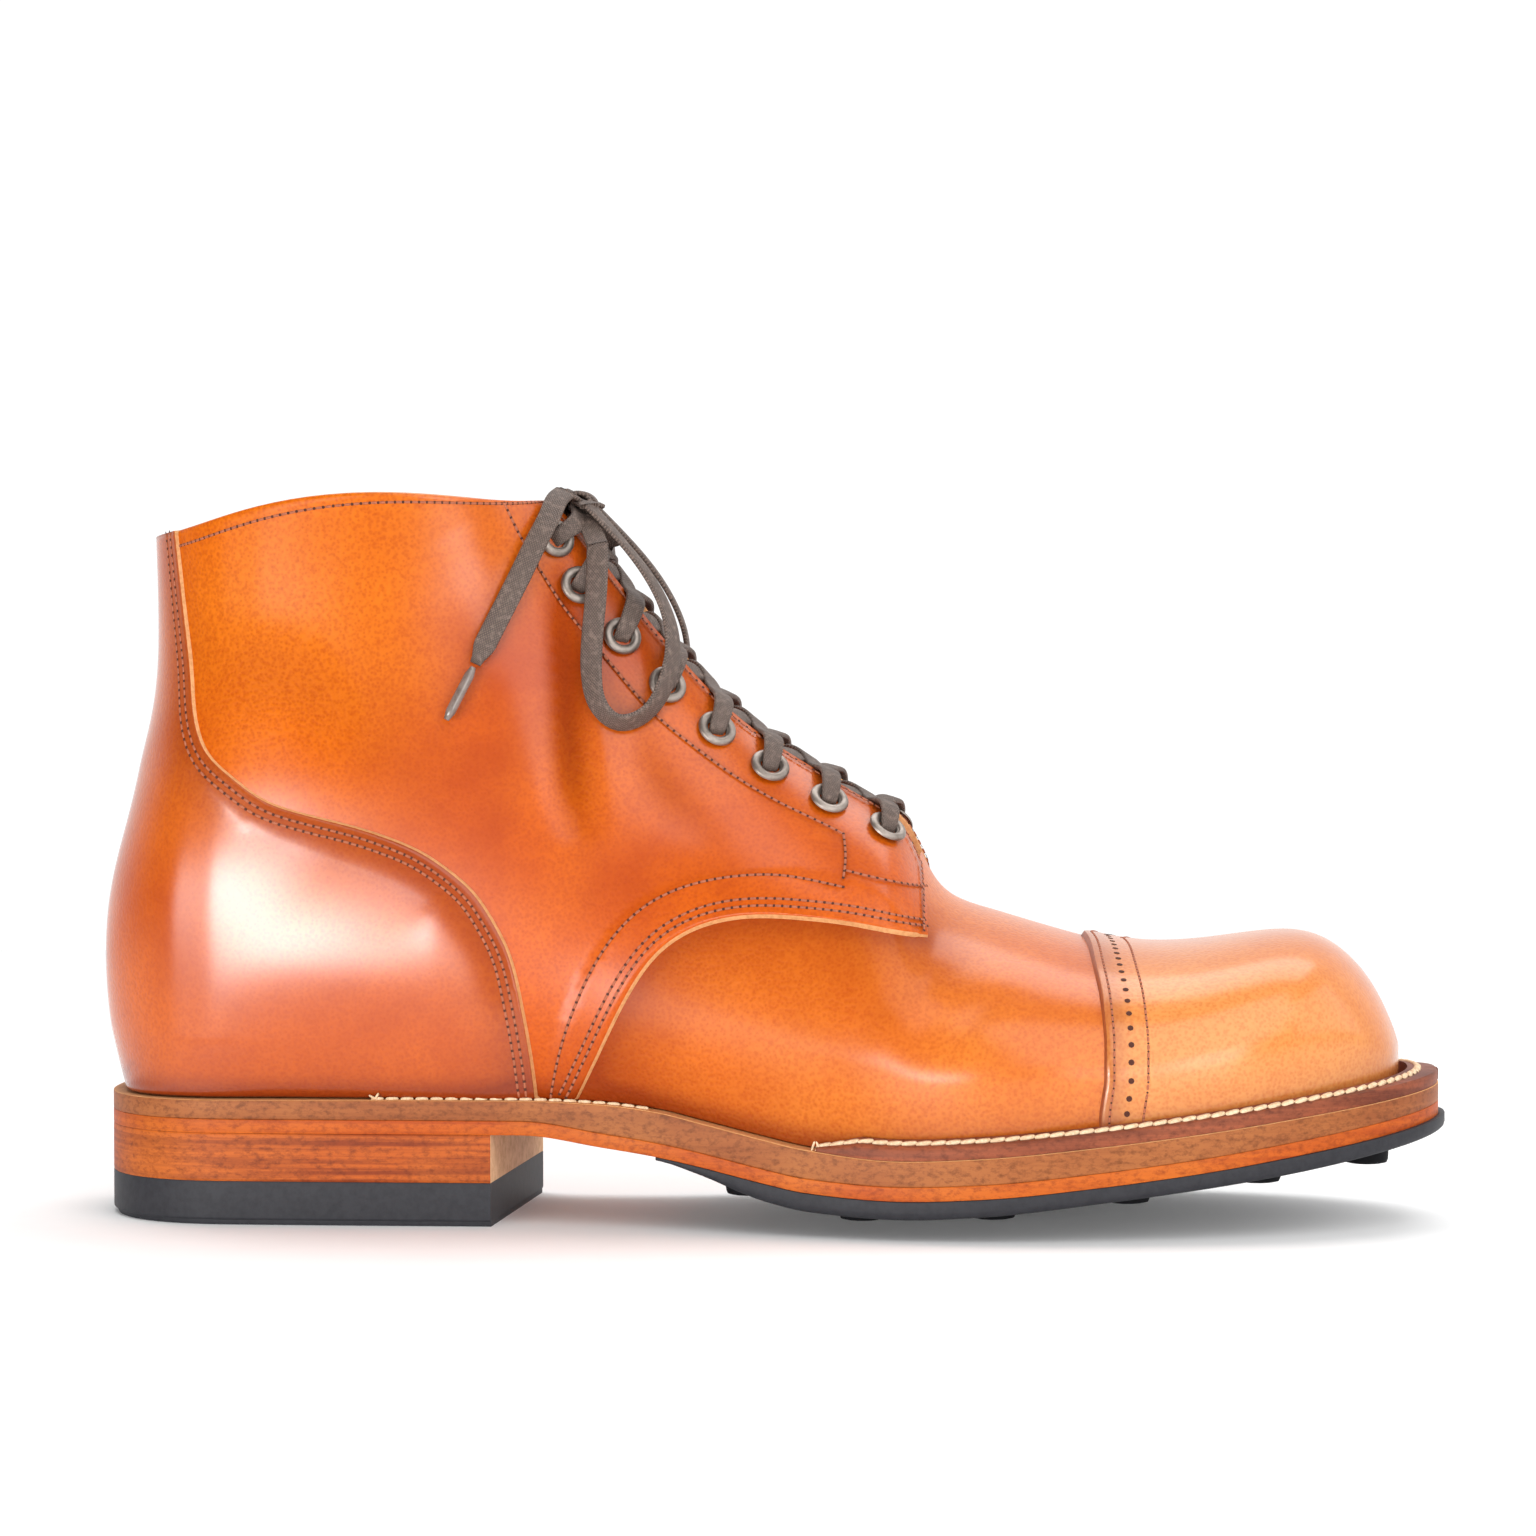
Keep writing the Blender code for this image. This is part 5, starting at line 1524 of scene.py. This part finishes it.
def build_stitches():
    for side in (OUT, IN):
        t, v = evenly_along(QUARTER_EDGE[:QUARTER_CORNER + 1], STITCH_PITCH)
        for offset in QUARTER_ROWS:
            sew(*beside(t, v, side, -offset), side, QUARTER_LIFT)
        t, v = evenly_along(QUARTER_EDGE[QUARTER_CORNER:], STITCH_PITCH)
        sew(*beside(t, v, side, -FACING_ROW), side, QUARTER_LIFT)
        t, v = evenly_along(COUNTER_EDGE, STITCH_PITCH)
        for offset in COUNTER_ROWS:
            thin = EDGE_SKIVE * math.exp(-(offset / SKIVE_REACH) ** 2)
            sew(*beside(t, v, side, -offset), side, COUNTER_LIFT - thin)
        sew(*evenly_along(VAMP_LINE, STITCH_PITCH), side, QUARTER_LIFT)
        sew(*with_corner(EYESTAY_LINE, EYESTAY_CORNER, STITCH_PITCH), side, QUARTER_LIFT)
        sew(*evenly_along(FACING_LINE, STITCH_PITCH), side, QUARTER_LIFT)
        t = np.linspace(9.5, 21.9, 92)
        sew(*beside(t, facing_v(t), side, -THROAT_ROW), side, QUARTER_LIFT)
        v = np.linspace(0.19, float(facing_v(LAST)), 60)
        sew(collar_t(v) - 0.13 - 0.1 * v, v, side, QUARTER_LIFT)
        t, v = round_cap(CAP_PITCH)
        for offset in CAP_ROWS:
            sew(*beside(t, v, side, offset), side, CAP_LIFT, CAP_STITCH, CAP_STITCH_HOLE)
        # brogue holes: dark spots of painted shade
        t, v = beside(*round_cap(BROGUE_PITCH), side, BROGUE_ROW)
        points, ways = skin(t, v, side, np.full(len(t), CAP_LIFT)), normal(t, v, side)
        HOLES.append((points + ways * 0.06, unit(np.gradient(points, axis=0)), ways, BROGUE_HOLE))


build_stitches()
scattered("stitches", THREADS, capsule(), [THREAD], "leather")
scattered("stitch_holes", HOLES, pill(), [PIT], "leather")


# Eyelets
EYELET_FLANGE = 0.4


def turned_object(name, spots, turns, material):
    """One object of profiles of radius and height, each turned round an axis at its seat."""
    points, faces = [], []
    for seat, across, rise, way, profile in spots:
        faces += grid_faces(turns, len(profile), sum(len(part) for part in points), loop_rows=True)
        for a in np.linspace(0, 2 * math.pi, turns, endpoint=False):
            arm = across * math.cos(a) + rise * math.sin(a)
            points.append(np.array([seat + arm * r + way * z for r, z in profile]))
    return new_object(name, np.concatenate(points), faces, [material])


def build_eyelets():
    reach = EYELET_RADIUS + EYELET_FLANGE - EYELET_HOLE
    profile = [(EYELET_HOLE, -2.6), (EYELET_HOLE, 0.5)]
    for a in np.linspace(0.35, math.pi, 9):
        profile.append((EYELET_HOLE + reach * (1 - math.cos(a)) / 2, 0.15 + 0.95 * math.sin(a)))
    for side, word in SIDES:
        spots = []
        for t, v in eyelet_places():
            fold = max(float(folds(surface_spot(t, v, side, 0.0))), 0.0)
            seat = surface_spot(t, v, side, QUARTER_LIFT + 0.2 + fold)
            way = surface_way(t, v, side)
            across = unit(np.cross(way, np.array((0.3, 0.1, 1.0))))
            spots.append((seat, across, np.cross(way, across), way, profile))
        body = turned_object(f"eyelets_{word}", spots, 36, METAL)
        dressed(body, "eyelet_metal", *(f"eyelet_{word}_{k + 1}" for k in range(len(EYELET_ROWS))))


build_eyelets()


# Soles
LAYER_GAP = 0.04
WELT_SEAT = 0.08
SLAB_SHARP = math.radians(50)
HEEL_SHARP = math.radians(45)
MIDDLE_STUDS = 15.0
OUTER_STUD_HEIGHT = 2.3
ROPE_SHARE = 0.34
ROPE_CLIMB = 0.52
# Ropes of stitches, as pitch, size and slant
FRONT_ROPE = (3.3, (3.6, 0.75, 0.6), 0.25)
WAIST_ROPE = (3.4, (2.9, 0.7, 0.5), 0.15)
WAIST_FIRST, WAIST_LAST = 65.0, 128.0
WAIST_INSET = 2.6
LOOSE_ENDS = (
    # x, rise, run, length
    (167.2, 0.8, (0.3, 0.2, 1.0), 2.6),
    (168.4, 1.2, (-0.5, 0.3, 1.0), 2.2),
    (169.0, 0.7, (1.0, 0.2, 0.3), 2.8),
    (65.8, 0.5, (-1.0, 0.1, 0.5), 2.2),
    (66.6, 0.7, (0.5, -0.1, 0.8), 2.0),
)


def stations(first, last, count=170):
    return first + (last - first) * (1 - np.cos(np.linspace(0, math.pi, count))) / 2


def outward(line, middle):
    """Directions out of an outline in plan."""
    run = np.gradient(line, axis=0)
    away = unit(np.stack((run[:, 1], -run[:, 0]), -1))
    return away if (away * (line - np.array(middle))).sum() >= 0 else -away


def edge_rings(line, away, low, high, profile):
    """Rings round an outline in plan, by the profile's inset and share of height."""
    rings = []
    for inset, share in profile:
        level = np.broadcast_to(low + (high - low) * share, (len(line), 1))
        rings.append(np.concatenate((line - away * inset, level), 1))
    return rings


def slab_object(name, x, halves, low, high, profile, materials, slot, nodes, crown=None, rim=0):
    """Solid between two surfaces over an outline, with a profile round its edge."""
    out, inner = halves
    count = len(x)
    outline = np.stack((np.concatenate((x, x[::-1])), np.concatenate((-out, inner[::-1]))), -1)
    away = outward(outline, (x.mean(), 0.0))
    low_z = np.concatenate((low(x), low(x)[::-1]))[:, None]
    high_z = np.concatenate((high(x), high(x)[::-1]))[:, None]
    rings = edge_rings(outline, away, low_z, high_z, profile)
    points = list(rings)
    faces = grid_faces(len(profile), 2 * count, loop_cols=True)
    across = np.linspace(0, 1, 13 if crown else 2)
    for ring in (rings[0], rings[-1]):
        near, far = ring[:count], ring[:count - 1:-1]
        cap = near[:, None] + (far - near)[:, None] * across[None, :, None]
        if crown and ring is rings[0]:
            cap[..., 2] -= crown(x)[:, None] * (1 - (2 * across - 1) ** 2)[None, :]
        faces += grid_faces(count, len(across), sum(len(part) for part in points))
        points.append(cap.reshape(-1, 3))
    marks = np.zeros(len(faces), int)
    if rim:
        marks[(len(profile) - 1 - rim) * 2 * count:(len(profile) - 1) * 2 * count] = 1
        marks[-(count - 1) * (len(across) - 1):] = 1
    body = new_object(name, np.concatenate(points), faces, materials, marks)
    body.data.set_sharp_from_angle(angle=SLAB_SHARP)
    return dressed(body, slot, *nodes)


SOFT_EDGE = (
    # inset, share of height
    (1.0, 0.0), (0.14, 0.0), (0.03, 0.02), (0.0, 0.06), (0.0, 0.5), (0.0, 0.94), (0.03, 0.98), (0.14, 1.0),
    (1.0, 1.0),
)
ROUND_EDGE = (
    # inset, share of height
    (1.6, 0.0), (0.7, 0.06), (0.2, 0.2), (0.0, 0.42), (0.0, 0.94), (0.05, 0.98), (0.3, 1.0), (1.0, 1.0),
)
LIP_EDGE = (
    # inset, share of height
    (2.0, 0.0), (1.1, 0.0), (1.0, 0.02), (1.0, 0.11), (0.25, 0.12), (0.05, 0.14), (0.0, 0.18), (0.0, 0.6),
    (0.0, 0.97), (0.1, 1.0), (1.0, 1.0),
)


def leather_top(x):
    return leather_bottom(x) + LEATHER_SOLE_THICK


def heel_outline():
    corners = {side: BREAST_X + BREAST_SLANT * side * BREAST_HALF[side] for side in (OUT, IN)}
    lines = []
    for side in (OUT, IN):
        x = corners[side] * (1 - np.cos(np.linspace(0, math.pi / 2, 70)))
        lines.append(np.stack((x, side * sole_half(x, side)), -1))
    return np.concatenate((lines[0][::-1], lines[1][1:]))


def heel_object(name, low, high, profile, materials, slot, *nodes):
    """Layer of the heel; its breast has the second material."""
    line = heel_outline()
    away = outward(line, (BREAST_X / 2, 0.0))
    rings = edge_rings(line, away, low, high, profile)
    count = len(line)
    faces = grid_faces(len(profile), count, loop_cols=True)
    marks = [1 if i % count == count - 1 else 0 for i in range(len(faces))]
    for ring in (0, len(profile) - 1):
        faces.append(tuple(ring * count + k for k in range(count)))
        marks.append(0)
    body = new_object(name, np.concatenate(rings), faces, materials, marks)
    body.data.set_sharp_from_angle(angle=HEEL_SHARP)
    return dressed(body, slot, *nodes)


def build_soles():
    x = stations(0.0, MIDSOLE_LENGTH)
    halves = [sole_half(x, side, MIDSOLE_LENGTH) for side in (OUT, IN)]
    slab_object("midsole_body", x, halves, lambda a: leather_top(a) + LAYER_GAP, midsole_top, SOFT_EDGE,
                [MIDSOLE, RAW], "sole_leather", ["midsole"], rim=2)
    slab_object("outsole_body", x, halves, leather_bottom, leather_top, SOFT_EDGE,
                [OUTSOLE], "sole_leather", ["leather_sole"])
    x = stations(2 * RUBBER_START_X - SOLE_LENGTH, SOLE_LENGTH, 240)
    x = np.concatenate(([RUBBER_START_X], x[x > RUBBER_START_X + 0.5]))
    halves = [sole_half(x, side) for side in (OUT, IN)]

    def crown(a):
        return RUBBER_CROWN * np.minimum((a - RUBBER_START_X) / 40, 1) * np.clip((SOLE_LENGTH - a) / 30, 0, 1)

    slab_object("half_sole", x, halves, rubber_bottom, lambda a: leather_bottom(a) - LAYER_GAP, ROUND_EDGE,
                [RUBBER], "rubber", ["rubber_sole"], crown)
    build_studs()
    heel_object("heel_top_rubber", 0.0, TOP_PIECE_HEIGHT, LIP_EDGE,
                [RUBBER, RUBBER], "rubber", "heel_top_piece")
    heel_object("heel_stack", TOP_PIECE_HEIGHT + LAYER_GAP, HEEL_TOP - LAYER_GAP, SOFT_EDGE,
                [STACK, BREAST], "sole_leather", "heel_lift_1", "heel_lift_2", "heel_lift_3")


def build_studs():
    """Round studs of the half sole, with a bevelled foot; the outer ones end above the floor."""
    spots = []
    for x, offsets in STUD_ROWS:
        top = float(rubber_bottom(x))
        for y in offsets:
            middle = abs(y) < MIDDLE_STUDS
            foot = max(top - RUBBER_CROWN - STUD_HEIGHT, 0.0) if middle else top - OUTER_STUD_HEIGHT
            profile = (
                # radius, z
                (0.0, foot),
                (STUD_RADIUS - 1.4, foot),
                (STUD_RADIUS - 0.3, foot + 0.25),
                (STUD_RADIUS, foot + 0.9),
                (STUD_RADIUS + 0.2, top - 0.5),
                (STUD_RADIUS + 1.0, top + 0.6),
            )
            spots.append((np.array((x, y, 0.0)), *np.eye(3), profile))
    dressed(turned_object("studs", spots, 28, TREAD), "rubber")


def welt_inner(x, side):
    half = width_of[side](x) - inset_at(x) + 2.0
    cover = (CAP_THICK + 0.6) * np.clip((x - 215) / 15, 0, 1)
    return (half + cover) * end_round(WELT_TIP_X - x, FEATHER_TOE_END)


def welt_path():
    """Stations round the forepart, with the outer and inner place of the welt at each."""
    places = []
    for side in (OUT, IN):
        start = WELT_START[side]
        x = start + (MIDSOLE_LENGTH - start) * np.sin(np.linspace(0, math.pi / 2, 130))
        outer = np.stack((x, side * sole_half(x, side, MIDSOLE_LENGTH, 0.3)), -1)
        run = (MIDSOLE_LENGTH - x) / (MIDSOLE_LENGTH - WELT_START[OUT])
        inner_x = x - np.maximum(1 - run, 0) ** 6 * (MIDSOLE_LENGTH - WELT_TIP_X)
        inner = np.stack((inner_x, side * welt_inner(inner_x, side)), -1)
        rise = 0.25 + 0.75 * np.clip((x - start) / 10, 0, 1)
        rows = list(zip(outer, inner, rise))
        places += rows if side == OUT else rows[::-1][1:]
    return places


def build_welt():
    rings = []
    for outer, inner, rise in welt_path():
        low_out, low_in = midsole_top(outer[0]) + WELT_SEAT, midsole_top(inner[0]) + WELT_SEAT
        top_out, top_in = low_out + WELT_OUTER_HEIGHT * rise, low_in + WELT_INNER_HEIGHT * rise
        climb = top_in - top_out
        spots = (
            # share of the way out, z
            (0.0, low_in),
            (1.0, low_out),
            (1.01, low_out + 0.3 * rise),
            (1.01, top_out - 0.45 * rise),
            (0.96, top_out),
            (0.62, top_out + 0.28 * climb),
            (0.42, top_out + 0.42 * climb - 0.35 * rise),
            (0.22, top_out + 0.75 * climb),
            (0.0, top_in),
        )
        rings.append([(*(inner + (outer - inner) * share), z) for share, z in spots])
    rings = np.array(rings, float)
    body = new_object("welt_strip", rings.reshape(-1, 3), tube_faces(*rings.shape[:2]), [WELT_LOOK])
    body.data.set_sharp_from_angle(angle=SLAB_SHARP)
    dressed(body, "sole_leather", "welt")


def rope(points, ups, pitch, size, slant):
    """Slanting cream stitches along a line of points."""
    length = run_along(points)
    at = np.arange(pitch / 2, length[-1], pitch)
    spots = rows_at(at, length, points)
    way = unit(rows_at(at, length, ups))
    run = unit(np.gradient(spots, axis=0))
    across = np.cross(way, run)
    run = unit(run + across * slant)
    WELT_THREADS.append((spots, run, way, size))


def build_welt_stitches():
    front = []
    for outer, inner, rise in welt_path():
        low_out, low_in = midsole_top(outer[0]), midsole_top(inner[0])
        top_out, top_in = low_out + WELT_OUTER_HEIGHT * rise, low_in + WELT_INNER_HEIGHT * rise
        level = top_out + ROPE_CLIMB * (top_in - top_out)
        front.append((*(inner + (outer - inner) * ROPE_SHARE), float(level)))
    front = np.array(front, float)
    centre = np.array((235.0, 0.0))
    ups = np.concatenate(((front[:, :2] - centre) * 0.006, np.ones((len(front), 1))), 1)
    rope(front, unit(ups), *FRONT_ROPE)
    for side in (OUT, IN):
        x = np.linspace(WAIST_FIRST, WAIST_LAST, 120)
        y = side * (sole_half(x, side, MIDSOLE_LENGTH) - WAIST_INSET)
        points = np.stack((x, y, midsole_top(x) + 0.12), -1)
        ups = np.broadcast_to((0.0, 0.0, 1.0), points.shape)
        rope(points, ups, *WAIST_ROPE)
    for x, rise, run, length in LOOSE_ENDS:
        y = -float(sole_half(np.array([x]), OUT, MIDSOLE_LENGTH)[0]) + 2.0
        spot = np.array([(x, y, float(midsole_top(x)) + rise)])
        WELT_THREADS.append((spot, unit(np.array(run)), (0.0, -1.0, 0.2), (length, 0.28, 0.28)))
    scattered("welt_stitches", WELT_THREADS, capsule(), [CREAM], "lace")


def build_insole():
    x = stations(INSOLE_HEEL_X, INSOLE_TOE_X, 110)
    halves = []
    for side in (OUT, IN):
        half = width_of[side](x) - inset_at(x) - 2.6
        heel = end_round(x - INSOLE_HEEL_X, FEATHER_HEEL_END)
        halves.append(half * heel * end_round(INSOLE_TOE_X - x, FEATHER_TOE_END))
    slab_object("insole_leather", x, halves, lambda a: midsole_top(a) + INSOLE_LIFT,
                lambda a: midsole_top(a) + INSOLE_LIFT + INSOLE_THICK, SOFT_EDGE,
                [LINING], "leather", ["insole"])


build_soles()
build_welt()
build_welt_stitches()
build_insole()


# Studio
FLOOR_HALF, FLOOR_NEAR, FLOOR_FAR = 2, -0.5, 0.8
SKY_FRONT, SKY_BACK = 0.12, 1.08
LIGHTS = (
    # name, place, aim, width, height, power
    ("heel_strip", (-0.55, -1.143, 0.09), (-0.10, -0.03, 0.08), 0.55, 0.13, 8.6),
    ("heel_fade_left", (-0.99, -0.833, 0.09), (-0.10, -0.03, 0.08), 0.5, 0.15, 2.1),
    ("heel_fade_right", (-0.225, -1.223, 0.09), (-0.10, -0.03, 0.08), 0.15, 0.17, 0.7),
    ("main_box", (0.51, -0.89, 0.88), (0.0, 0.0, 0.08), 1.1, 1.3, 10.4),
    ("right_strip", (0.60, -1.10, 0.12), (0.05, -0.03, 0.07), 0.5, 0.34, 3.0),
    ("side_box", (1.15, -0.20, 0.55), (0.1, 0.0, 0.06), 1.0, 0.9, 4.5),
    ("back_box", (0.0, 0.45, 1.30), (0.0, 0.2, 0.0), 1.6, 0.7, 11.0),
)


def build_floor():
    mesh = bpy.data.meshes.new("floor")
    near = [(-FLOOR_HALF, FLOOR_NEAR, 0), (FLOOR_HALF, FLOOR_NEAR, 0)]
    corners = near + [(FLOOR_HALF, FLOOR_FAR, 0), (-FLOOR_HALF, FLOOR_FAR, 0)]
    mesh.from_pydata(corners, [], [(0, 1, 2, 3)])
    mesh.materials.append(FLOOR)
    floor = bpy.data.objects.new("floor", mesh)
    bpy.context.scene.collection.objects.link(floor)


def build_sky():
    """White behind and above the boot, dim on the camera's side."""
    world = bpy.data.worlds.new("studio")
    bpy.context.scene.world = world
    world.use_nodes = True
    nodes, link = world.node_tree.nodes, world.node_tree.links.new
    split = nodes.new("ShaderNodeSeparateXYZ")
    link(nodes.new("ShaderNodeTexCoord").outputs["Generated"], split.inputs[0])
    fade = nodes.new("ShaderNodeMapRange")
    fade.interpolation_type = "SMOOTHSTEP"
    fill(fade, {"From Min": -0.25, "From Max": 0.65, "To Min": SKY_FRONT, "To Max": SKY_BACK})
    link(split.outputs["Y"], fade.inputs["Value"])
    link(fade.outputs["Result"], nodes["Background"].inputs["Strength"])
    fill(nodes["Background"], {"Color": (1.0, 1.0, 1.0, 1)})


def build_lights():
    for name, spot, target, width, height, power in LIGHTS:
        light = bpy.data.lights.new(name, "AREA")
        light.shape = "RECTANGLE"
        light.size, light.size_y = width, height
        light.energy = power
        thing = bpy.data.objects.new(name, light)
        thing.location = spot
        thing.rotation_mode = "QUATERNION"
        thing.rotation_quaternion = (Vector(target) - Vector(spot)).to_track_quat("-Z", "Y")
        bpy.context.scene.collection.objects.link(thing)


build_floor()
build_sky()
build_lights()
bpy.context.scene.view_settings.view_transform = "Standard"
